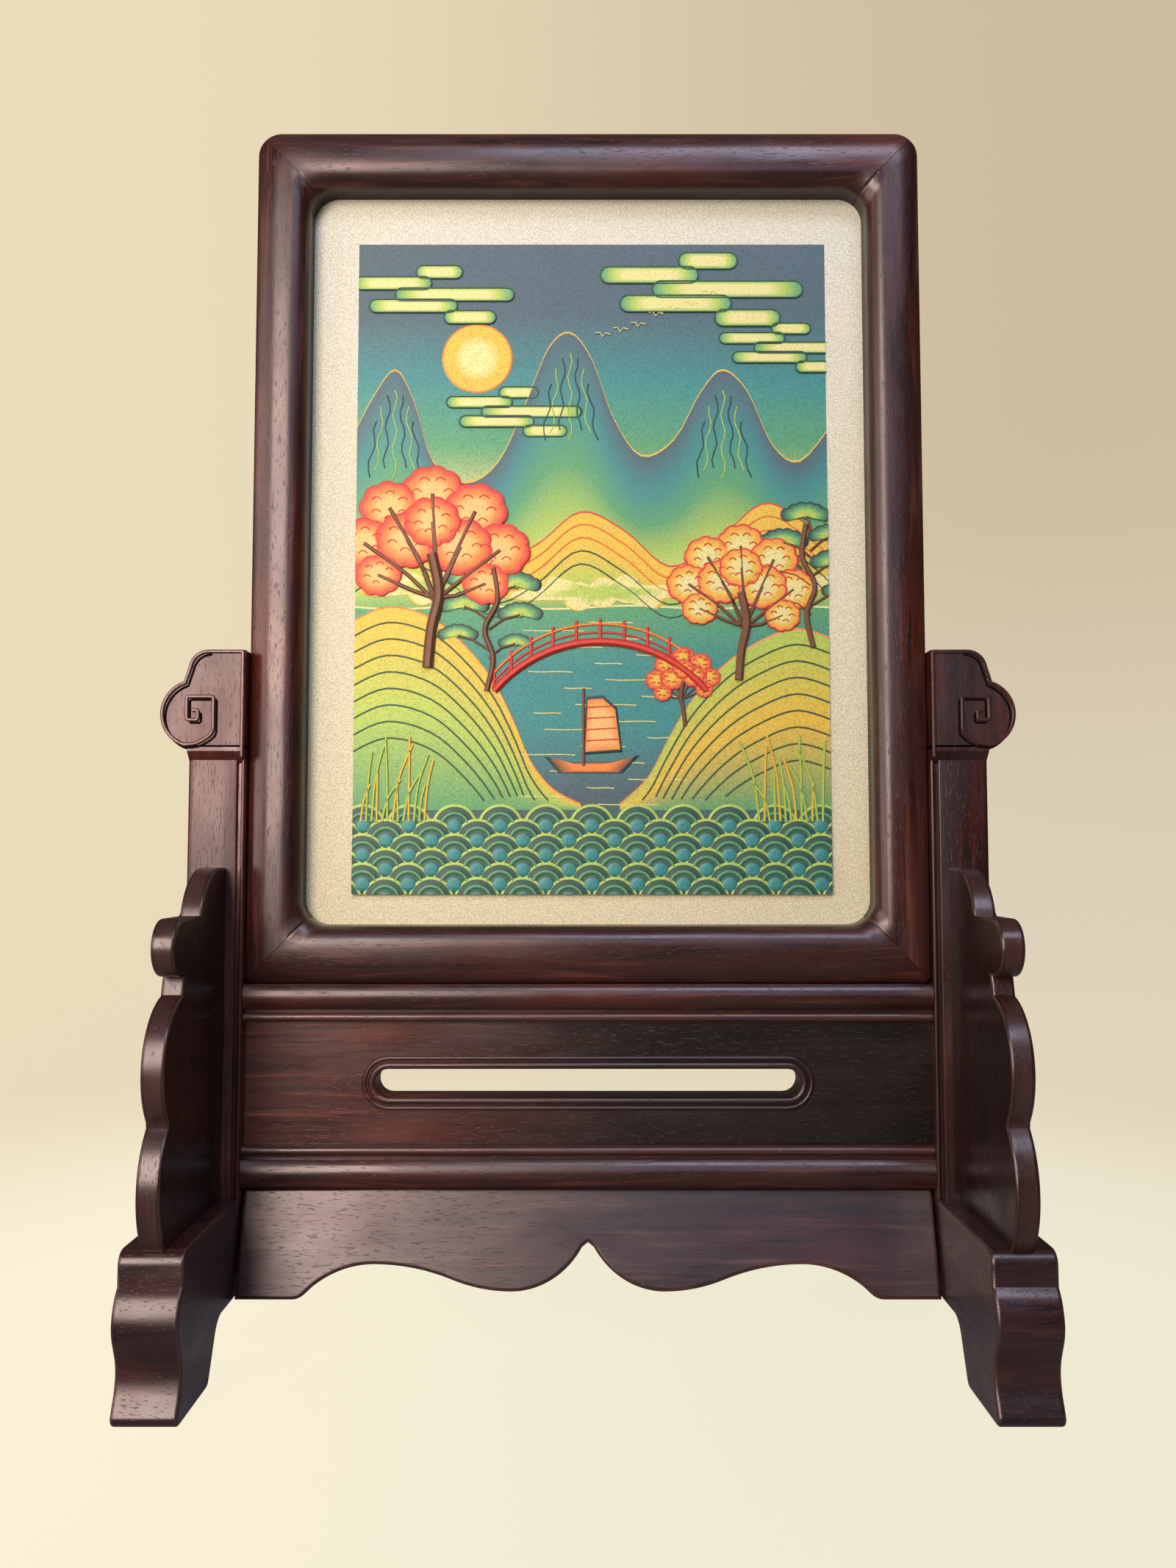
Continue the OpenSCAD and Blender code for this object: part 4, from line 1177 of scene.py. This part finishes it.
class TABLE_SCREEN_OT_picture(bpy.types.Operator):
    """The printed picture on the plate, in low relief: a river between autumn hills."""

    bl_idname = "table_screen.picture"
    bl_label = "Printed picture"

    def execute(self, context):
        self.ink = context.scene.table_screen_ink
        self.material = printed_ink()
        self.shell = Shell()
        self.lines = []
        ink = self.ink
        self.sky()
        self.ranges()
        self.river()
        self.pine((-38.0, 76.0), 1.0, 0.75)
        self.pine((80.0, 92.0), -1.0, 0.75)
        self.maple((-58.0, 88.0), 1.3, [ink.red, ink.orange, ink.peach])
        self.maple((54.0, 82.0), 1.0, [ink.orange, ink.gold, ink.straw])
        self.maple((33.0, 63.0), -0.5, [ink.red, ink.orange, ink.gold])
        self.boat((0.0, 46.0))
        self.reeds()
        mesh = merge("picture", [self.shell.mesh("picture"), self.waves(), *self.lines])
        self.trim(mesh)
        set_piece("picture_print", mesh, "screen", "gold_plate", self.material)
        return {"FINISHED"}

    def draw_line(self, points, radius, relief, ink, sides=8):
        """A printed line in relief."""
        path = [(x, PLATE_Y[0] - relief, PRINT_Z[0] + z) for x, z in points]
        mesh = raised_line(path, radius, self.material, sides=sides)
        colour = mesh.attributes.new("ink", "FLOAT_COLOR", "POINT")
        colour.data.foreach_set("color", list(ink) * len(mesh.vertices))
        self.lines.append(mesh)

    def sky(self):
        """Sky, a small sun, flat clouds and a flight of birds."""
        ink = self.ink
        across = [(x, 239.5) for x in (-87.0, -40.0, 0.0, 40.0, 87.0)]
        ridge(self.shell, across, 110.0, 0.06, ink.slate,
              [ink.slate, ink.slate, ink.teal, ink.jade, ink.straw, ink.straw], 24)
        sun = (-42.0, 196.0)
        motif(self.shell, arc(sun, 13.0, 0, 354, 59), sun, 0.16, ink.orange,
              [ink.gold, ink.gold, ink.straw], 0.95, 0.0)
        for x, z, size in ((38.0, 222.0, 1.2), (-60.0, 220.0, 0.95), (-30.0, 176.0, 0.8), (70.0, 200.0, 0.8)):
            self.cloud((x, z), size)
        wings = ((-2.6, 1.4), (-1.0, 1.7), (0.0, 0.0), (1.2, 1.5), (2.8, 0.9))
        for i in range(7):
            x, z = 4 + 6.5 * i, 204 + 2.6 * i - 0.7 * (i % 3)
            self.draw_line([(x + u, z + v) for u, v in wings], 0.28, 0.3, ink.straw)

    def cloud(self, middle, size):
        """A flat cloud of round-ended bars."""
        ink = self.ink
        tones = [ink.jade, ink.lime, ink.straw, ink.straw]
        bars = ((4, 9, 18), (-14, 4.5, 30), (10, 0, 46), (-6, -4.5, 34), (16, -9, 20))
        for i, (x, z, long) in enumerate(bars):
            spot = (middle[0] + size * x, middle[1] + size * z)
            bar = [(spot[0] + u, spot[1] + v) for u, v in stadium(size * long, size * 5.2)]
            relief = 0.3 + 0.03 * i
            motif(self.shell, bar, spot, relief, ink.jade, tones, 0.98, 0.05)
            self.draw_line([*bar, bar[0]], 0.3, relief, ink.leaf, 6)

    def ranges(self):
        """Far peaks with clefts, golden hills with contour lines, and mist."""
        ink = self.ink
        far = curve_through([
            (-88, 166), (-80, 182), (-72, 192), (-65, 180), (-58, 158), (-46, 150), (-34, 158), (-24, 180),
            (-16, 200), (-8, 206), (0, 196), (8, 174), (18, 160), (30, 166), (40, 184), (48, 192), (57, 184),
            (66, 164), (76, 158), (88, 172)], 4)
        ridge(self.shell, far, 108.0, 0.36, ink.gold,
              [ink.slate, ink.teal, ink.jade, ink.lime, ink.straw], 10)
        for x, z in ((-72, 188), (-8, 202), (48, 188)):
            for i in range(-3, 4):
                top = z - 4 - 2.0 * abs(i) ** 1.6
                cleft = [(x + i * (2.2 + 0.05 * s) + 0.8 * math.sin(0.5 * s + i), top - s)
                         for s in range(0, 34 - 4 * abs(i), 3)]
                self.draw_line(cleft, 0.26, 0.36, ink.night if i % 2 else ink.lime, 6)
        near = curve_through([
            (-88, 128), (-70, 140), (-52, 132), (-36, 121), (-20, 127), (-4, 139), (12, 132), (28, 119),
            (44, 127), (62, 142), (76, 136), (88, 126)], 5)
        ridge(self.shell, near, 100.0, 0.5, ink.red, [ink.gold, ink.gold, ink.lime, ink.jade])
        for drop in (5.0, 10.0, 15.0, 20.0):
            self.draw_line([(x, z - drop - 0.05 * drop * math.sin(x / 7)) for x, z in near], 0.3, 0.5,
                           ink.orange if drop < 12 else ink.leaf, 6)
        for x, z, long in ((-54, 111, 30), (4, 109, 36), (62, 112, 27)):
            lobes = [(x + long * s, z + 1.8 * math.sin(9 * s), 4.6 * (1 - s * s) + 1.2)
                     for s in (-0.95, -0.75, -0.5, -0.25, 0.0, 0.25, 0.5, 0.75, 0.95)]
            motif(self.shell, lobed((x, z), lobes, 120), (x, z), 0.62, ink.gold,
                  [ink.straw, ink.straw, ink.lime], 0.94)

    def river(self):
        """The river with ripples and a red bridge, and a terraced hill on each side."""
        ink = self.ink
        level = [(x, 104.0 + 0.6 * math.sin(x / 9)) for x in range(-88, 90, 4)]
        ridge(self.shell, level, 14.0, 0.56, ink.straw, [ink.jade, ink.teal, ink.teal, ink.slate, ink.leaf])
        for i in range(24):
            x, z = -24 + 31 * i % 52, 101 - 3.0 * i
            reach = 5 + 3 * (i % 3)
            self.draw_line([(x + reach * s, z + 0.5 * math.sin(6 * s)) for s in (-1, -0.5, 0, 0.5, 1)],
                           0.26, 0.56, ink.straw, 6)
        for rise, radius, tone in ((0.0, 1.5, ink.red), (6.5, 0.55, ink.orange), (3.4, 0.4, ink.red)):
            self.draw_line(arc((3.0, 41.0 + rise), 50.0, 140, 40, 30), radius, 0.64, tone)
        for x, z in arc((3.0, 41.0), 50.0, 140, 40, 10):
            self.draw_line([(x, z), (x, z + 8.4)], 0.6, 0.66, ink.red)
        left = [(-88, 98), (-74, 104), (-58, 100), (-45, 89), (-35, 76), (-28, 62), (-22, 48), (-14, 38),
                (-4, 32.5)]
        right = [(10, 32.5), (20, 42), (27, 55), (36, 70), (48, 83), (60, 91), (74, 96), (88, 92)]
        for crest, tones in ((left, [ink.gold, ink.lime, ink.jade]), (right, [ink.lime, ink.gold, ink.jade])):
            crest = curve_through(crest, 5)
            ridge(self.shell, crest, 30.0, 0.74, ink.orange, tones)
            for drop in (6, 12, 18, 24, 30, 36, 42, 48):
                terrace = [(x, z - drop) for x, z in crest if z - drop > 33]
                if len(terrace) > 3:
                    self.draw_line(terrace, 0.32, 0.74, ink.leaf, 6)

    def pine(self, root, side, size):
        """A leaning pine with branches and layered fans of needles."""
        ink = self.ink
        x, z = root

        def spot(a, b):
            return x + side * a * size, z + b * size

        self.draw_line(curve_through([spot(0, -4), spot(3, 12), spot(-1, 26), spot(5, 40), spot(3, 56)], 6),
                       1.4 * size, 0.86, ink.bark)
        fans = ((3, 60, 10), (-9, 50, 9), (14, 47, 10), (-11, 37, 10), (16, 33, 9), (-14, 23, 8), (14, 19, 7))
        for a, b, r in fans:
            self.draw_line([spot(1, b - 7), spot(0.5 * a, b - 2), spot(a, b)], 0.6 * size, 0.86, ink.bark)
            middle = spot(a, b)
            fan = [(middle[0] + size * r * s, middle[1] + size * r * 0.4 * (1 - s * s), size * r * 0.34)
                   for s in (-0.9, -0.55, -0.2, 0.2, 0.55, 0.9)]
            motif(self.shell, lobed(middle, fan, 72), middle, 0.98, ink.night,
                  [ink.leaf, ink.jade, ink.lime], 0.9)

    def maple(self, root, size, tones):
        """A broad tree with forked branches and round clumps of bright leaves."""
        ink = self.ink
        side = 1 if size > 0 else -1
        size = abs(size)
        x, z = root

        def spot(a, b):
            return x + side * a * size, z + b * size

        trunk = curve_through([spot(-1, -5), spot(0, 6), spot(2, 16), spot(0, 27)], 6)
        self.draw_line(trunk, 1.6 * size, 0.86, ink.bark)
        clumps = ((0, 44, 9), (-12, 40, 8.5), (12, 39, 9), (-19, 30, 8), (19, 28, 8.5), (-7, 31, 9),
                  (8, 29, 9), (-15, 21, 6.5), (15, 18.5, 6.5), (0, 36, 8))
        for i, (a, b, r) in enumerate(clumps):
            branch = [spot(1, 13 + 0.2 * i), spot(0.4 * a + 1, 0.5 * b + 6), spot(a, b)]
            self.draw_line(branch, 0.6 * size, 0.88, ink.bark)
            u, v = spot(a, b)
            reach = r * size
            lobes = [(u + 0.6 * reach * math.cos(t), v + 0.5 * reach * math.sin(t), 0.42 * reach)
                     for t in (math.tau * k / 9 + i for k in range(9))]
            motif(self.shell, lobed((u, v), lobes, 90), (u, v), 1.0 + 0.04 * i, ink.red, tones, 0.92, 0.1)
            for t in (math.tau * k / 6 + 0.5 * i for k in range(6)):
                leaf = (u + 0.5 * reach * math.cos(t), v + 0.42 * reach * math.sin(t))
                self.draw_line(arc(leaf, 0.16 * reach, 20, 160, 5), 0.24, 1.05 + 0.04 * i, ink.red, 6)

    def boat(self, middle):
        """A small boat with a sail."""
        ink = self.ink
        x, z = middle
        hull = [(-17, 3.4), (-12, -2.6), (11, -2.6), (17, 3.8), (9, 1.6), (-9, 1.2)]
        sail = [(-3, 4), (-2, 25), (4, 25.5), (9, 21), (11, 5)]
        self.draw_line([(x - 3, z), (x - 3, z + 28)], 0.5, 0.9, ink.bark)
        for shape, (a, b), tones in ((hull, (0, -0.8), [ink.bark, ink.orange]),
                                     (sail, (3, 14), [ink.orange, ink.peach])):
            outline = [(x + u, z + v) for u, v in shape]
            motif(self.shell, outline, (x + a, z + b), 0.92, ink.night, tones, 0.9)
        for rise in (9, 13, 17, 21):
            seam = [(x - 2.6, z + rise), (x + 10.4 - 0.12 * rise, z + rise + 0.6)]
            self.draw_line(seam, 0.22, 1.0, ink.red, 6)

    def reeds(self):
        """Blades of reed at the two lower corners."""
        ink = self.ink
        for i in range(26):
            side = 1 if i % 2 else -1
            x = side * (60 + 1.9 * (i // 2))
            tall = 22 + 9 * math.sin(2.3 * i)
            bend = side * (3 + 4 * math.sin(1.7 * i))
            blade = curve_through([(x, 26), (x - 0.3 * bend, 26 + 0.55 * tall), (x - bend, 26 + tall)], 5)
            self.draw_line(blade, 0.5, 0.95, ink.lime if i % 3 else ink.gold, 6)

    def waves(self):
        """Rows of wave scales along the lower edge, each row in front of the one above."""
        ink = self.ink
        scale = Shell()
        across, up, pitch = 13, 6, 16.4
        # A little under half the pitch, so that neighbours don't share a face
        reach = 8.19
        outline = arc((0.0, 0.0), reach, 0, 180, 22) + [(-reach, -5.0), (0.0, -6.0), (reach, -5.0)]
        levels = (
            (1.0, 1.6, ink.lime), (1.0, 0.0, ink.lime), (0.9, -0.1, ink.lime), (0.88, -0.1, ink.leaf),
            (0.66, -0.12, ink.night), (0.64, -0.2, ink.jade), (0.56, -0.2, ink.jade), (0.54, -0.14, ink.leaf),
            (0.34, -0.14, ink.leaf), (0.32, -0.22, ink.teal), (0.1, -0.25, ink.teal))
        rings = [scale.ring([(u * s, y, v * s) for u, v in outline], inks=[tuple(tone)] * len(outline))
                 for s, y, tone in levels]
        scale.loft(rings)
        spots = []
        for row in range(up):
            for column in range(across):
                x = pitch * (column - (across - 1) / 2 + row % 2 / 2)
                spots.append((x, PLATE_Y[0] - 0.9 - 0.13 * row, PRINT_Z[0] + 24.0 - 5.2 * row))
        return repeat(scale.mesh("scale"), spots, self.material)

    def trim(self, mesh):
        """Cuts the picture off at its four edges and closes the cuts."""
        work = bmesh.new()
        work.from_mesh(mesh)
        low, high = PRINT_Z
        edges = (((PRINT_HALF, 0, 0), (1, 0, 0)), ((-PRINT_HALF, 0, 0), (-1, 0, 0)),
                 ((0, 0, high), (0, 0, 1)), ((0, 0, low), (0, 0, -1)))
        for spot, away in edges:
            bmesh.ops.bisect_plane(
                work, geom=work.verts[:] + work.edges[:] + work.faces[:], dist=SAME / 10,
                plane_co=[c * MM for c in spot], plane_no=away, clear_outer=True)
            bmesh.ops.holes_fill(work, edges=[e for e in work.edges if e.is_boundary])
        bmesh.ops.translate(work, verts=work.verts[:], vec=(PRINT_SHIFT * MM, 0.0, 0.0))
        work.to_mesh(mesh)
        work.free()
        finish_mesh(mesh)


class TABLE_SCREEN_OT_board(bpy.types.Operator):
    """The backing board in the rebate behind the plate."""

    bl_idname = "table_screen.board"
    bl_label = "Backing board"

    def execute(self, context):
        shell = Shell()
        slab(shell, rectangle(*BOARD_HALF), *BOARD_Y, 0.6, lambda u, v, d: (u, d, SCREEN_Z + v))
        set_piece("backing_board_planed", shell.mesh("board"), "screen", "back_board", backing_wood(),
                  "backing_board")
        return {"FINISHED"}


class TABLE_SCREEN_OT_screws(bpy.types.Operator):
    """The ten countersunk screws that hold the backing board."""

    bl_idname = "table_screen.screws"
    bl_label = "Back screws"

    def execute(self, context):
        across, up = SCREW_REACH
        spots = [(side * across, rise) for side in SIDES for rise in STILE_SCREWS]
        spots += [(x, end * up) for x in RAIL_SCREWS for end in SIDES]
        material = screw_steel()
        mesh = repeat(screw_mesh(), [(x, BOARD_Y[1], SCREEN_Z + z) for x, z in spots], material)
        finish_mesh(mesh)
        set_piece("back_screws_driven", mesh, "screen", "screw_steel", material, "back_screws")
        return {"FINISHED"}


class TABLE_SCREEN_OT_stage(bpy.types.Operator):
    """The cream floor that sweeps up behind the object, soft light, and the camera."""

    bl_idname = "table_screen.stage"
    bl_label = "Stage"

    def execute(self, context):
        self.sweep(context)
        self.lights(context)
        self.camera(context)
        context.scene.view_settings.view_transform = "Standard"
        return {"FINISHED"}

    def sweep(self, context):
        """Floor and backdrop in one bowl of paper, so that every view has the same pale ground."""
        settings = context.scene.table_screen_stage
        flat, bend, height = 1.2, 0.8, 3.0
        count = 96
        profile = [(flat * i / 3, 0.0) for i in (1, 2, 3)]
        profile += [(flat + bend * math.sin(a), bend - bend * math.cos(a))
                    for a in (math.pi / 2 * i / 20 for i in range(1, 21))]
        profile += [(flat + bend, 2 * bend), (flat + bend, height)]
        points = [(0.0, 0.0, 0.0)]
        for radius, z in profile:
            points += [(radius * math.cos(math.tau * i / count), radius * math.sin(math.tau * i / count), z)
                       for i in range(count)]
        faces = [(0, 1 + i, 1 + (i + 1) % count) for i in range(count)]
        for row in range(len(profile) - 1):
            low = 1 + row * count
            faces += [(low + i, low + count + i, low + count + (i + 1) % count, low + (i + 1) % count)
                      for i in range(count)]
        mesh = bpy.data.meshes.new("paper_bowl")
        mesh.from_pydata(points, [], faces)
        mesh.shade_smooth()
        mesh.materials.append(self.paper(settings))
        bowl = bpy.data.objects.new("paper_bowl", mesh)
        context.scene.collection.objects.link(bowl)

    def paper(self, settings):
        """Matt cream paper: seen at its own pale colour, darker to the right, and dull as a light source."""
        material, tree, shader, place = new_material("cream_paper")
        parts = add(tree, "ShaderNodeSeparateXYZ", {"Vector": place})
        x, z = parts.outputs["X"], parts.outputs["Z"]
        far = add(tree, "ShaderNodeVectorMath", {0: place}, operation="LENGTH").outputs["Value"]
        spans = ((x, -0.25, 0.1), (z, 0.0, 1.0), (x, -0.9, 0.9), (far, 0.16, 0.62))
        floor_right, wall_up, wall_right, away = [
            add(tree, "ShaderNodeMapRange", {"Value": value, "From Min": start, "From Max": end},
                interpolation_type="SMOOTHSTEP")
            for value, start, end in spans]
        ground = add(tree, "ShaderNodeMix", {
            0: floor_right, MIX_A: settings.floor, MIX_B: settings.floor_shade}, data_type="RGBA")
        right = add(tree, "ShaderNodeMix", {
            0: wall_up, MIX_A: settings.backdrop_low, MIX_B: settings.backdrop_shade}, data_type="RGBA")
        wall = add(tree, "ShaderNodeMix", {
            0: wall_right, MIX_A: settings.backdrop, MIX_B: right}, data_type="RGBA")
        tone = add(tree, "ShaderNodeMix", {0: away, MIX_A: ground, MIX_B: wall}, data_type="RGBA")
        # Shares of the tone as a light source and of the glow in view, and the gleam near and far
        light_share, glow_share = 0.25, 0.86
        near_gleam, far_gleam = 0.14, 0.015
        dulled = add(tree, "ShaderNodeMix", {
            0: 1.0, MIX_A: tone, MIX_B: (*[light_share] * 3, 1.0)}, data_type="RGBA", blend_type="MULTIPLY")
        feed(tree, shader, {"Base Color": dulled, "Roughness": 0.9, "Specular IOR Level": 0.0})
        glow = add(tree, "ShaderNodeEmission", {"Color": tone, "Strength": 1.13})
        path = add(tree, "ShaderNodeLightPath")
        clear = add(tree, "ShaderNodeMath", {
            0: path.outputs["Is Camera Ray"], 1: path.outputs["Is Transmission Ray"]}, operation="MAXIMUM")
        # What is left of the shader keeps the object's shadow
        shown = add(tree, "ShaderNodeMath", {0: clear, 1: glow_share}, operation="MULTIPLY")
        seen = add(tree, "ShaderNodeMixShader", {0: shown, 1: shader, 2: glow})
        gleam = add(tree, "ShaderNodeMapRange", {
            "Value": away, "To Min": near_gleam, "To Max": far_gleam})
        glossy = add(tree, "ShaderNodeMath", {
            0: path.outputs["Is Glossy Ray"], 1: gleam}, operation="MULTIPLY")
        cool = add(tree, "ShaderNodeEmission", {"Color": settings.gleam, "Strength": 1.0})
        mixed = add(tree, "ShaderNodeMixShader", {0: glossy, 1: seen, 2: cool})
        output = next(n for n in tree.nodes if n.bl_idname == "ShaderNodeOutputMaterial")
        feed(tree, output, {"Surface": mixed})
        return material

    def lights(self, context):
        """A warm window and its wall at the left, a cool lamp above, a weak glow, and a lamp for the back."""
        settings = context.scene.table_screen_stage
        aim = Vector((0.0, 0.0, 0.2))
        lamps = (
            ("key_light", settings.key_power, "#ffe2d7", (0.46, 0.7), (-0.41, -1.02, 0.5)),
            ("wall_light", settings.wall_power, "#ffe2d7", (0.8, 0.8), (-1.05, -0.6, 0.45)),
            ("top_light", settings.top_power, "#e2e4ff", (0.8, 0.4), (0.25, -0.85, 1.15)),
            ("fill_light", settings.fill_power, "#dcdcff", (0.4, 0.45), (0.15, -1.0, 0.5)),
            ("back_light", settings.back_power, "#fff2e6", (0.9, 0.7), (0.95, 0.8, 0.55)),
        )
        for name, power, code, (wide, high), spot in lamps:
            lamp = bpy.data.lights.new(name, "AREA")
            lamp.energy = power
            lamp.shape = "RECTANGLE"
            lamp.size = wide
            lamp.size_y = high
            lamp.color = to_linear(code)[:3]
            holder = bpy.data.objects.new(name, lamp)
            holder.location = spot
            holder.visible_camera = False
            # The lamp behind would glint along the front's edges
            holder.visible_glossy = name != "back_light"
            holder.rotation_euler = (aim - Vector(spot)).to_track_quat("-Z", "Y").to_euler()
            context.scene.collection.objects.link(holder)
        world = bpy.data.worlds.new("dim_room")
        world.use_nodes = True
        feed(world.node_tree, world.node_tree.nodes["Background"], {
            "Color": to_linear("#efe9e6"), "Strength": 0.2})
        context.scene.world = world

    def camera(self, context):
        """The camera as fitted to the photograph, with its long side upright."""
        lens = bpy.data.cameras.new("photo_camera")
        lens.sensor_fit = "AUTO"
        lens.sensor_width = SENSOR
        lens.lens = SENSOR * FOCAL_PIXELS / PHOTO_SIZE[1]
        lens.clip_start = 0.01
        eye = bpy.data.objects.new("photo_camera", lens)
        eye.location = CAMERA_PLACE
        eye.rotation_euler = (math.pi / 2 + CAMERA_TILT, 0.0, 0.0)
        context.scene.collection.objects.link(eye)
        context.scene.camera = eye


PIECES = (
    TABLE_SCREEN_OT_stage,
    TABLE_SCREEN_OT_feet,
    TABLE_SCREEN_OT_posts,
    TABLE_SCREEN_OT_spandrels,
    TABLE_SCREEN_OT_rails,
    TABLE_SCREEN_OT_panel,
    TABLE_SCREEN_OT_aprons,
    TABLE_SCREEN_OT_frame,
    TABLE_SCREEN_OT_plate,
    TABLE_SCREEN_OT_picture,
    TABLE_SCREEN_OT_board,
    TABLE_SCREEN_OT_screws,
)
SETTINGS = {
    "table_screen_wood": WoodSettings,
    "table_screen_plate": PlateSettings,
    "table_screen_ink": InkSettings,
    "table_screen_stage": StageSettings,
}


class TABLE_SCREEN_PT_panel(bpy.types.Panel):
    """Lists the settings and the pieces of the table screen."""

    bl_idname = "TABLE_SCREEN_PT_panel"
    bl_label = "Table screen"
    bl_space_type = "VIEW_3D"
    bl_region_type = "UI"
    bl_category = "Table screen"

    def draw(self, context):
        for group in SETTINGS:
            settings = getattr(context.scene, group)
            for key in settings.__annotations__:
                self.layout.prop(settings, key)
        for piece in PIECES:
            self.layout.operator(piece.bl_idname)


def register():
    """Registers the settings, the pieces and the panel."""
    for group, settings in SETTINGS.items():
        bpy.utils.register_class(settings)
        setattr(bpy.types.Scene, group, bpy.props.PointerProperty(type=settings))
    for piece in PIECES:
        bpy.utils.register_class(piece)
    bpy.utils.register_class(TABLE_SCREEN_PT_panel)


def unregister():
    """Takes away what register added."""
    bpy.utils.unregister_class(TABLE_SCREEN_PT_panel)
    for piece in reversed(PIECES):
        bpy.utils.unregister_class(piece)
    for group, settings in SETTINGS.items():
        delattr(bpy.types.Scene, group)
        bpy.utils.unregister_class(settings)


def main():
    """Builds every piece in order."""
    register()
    for piece in PIECES:
        group, call = piece.bl_idname.split(".")
        getattr(getattr(bpy.ops, group), call)()
    bpy.context.view_layer.update()


if __name__ == "__main__":
    main()
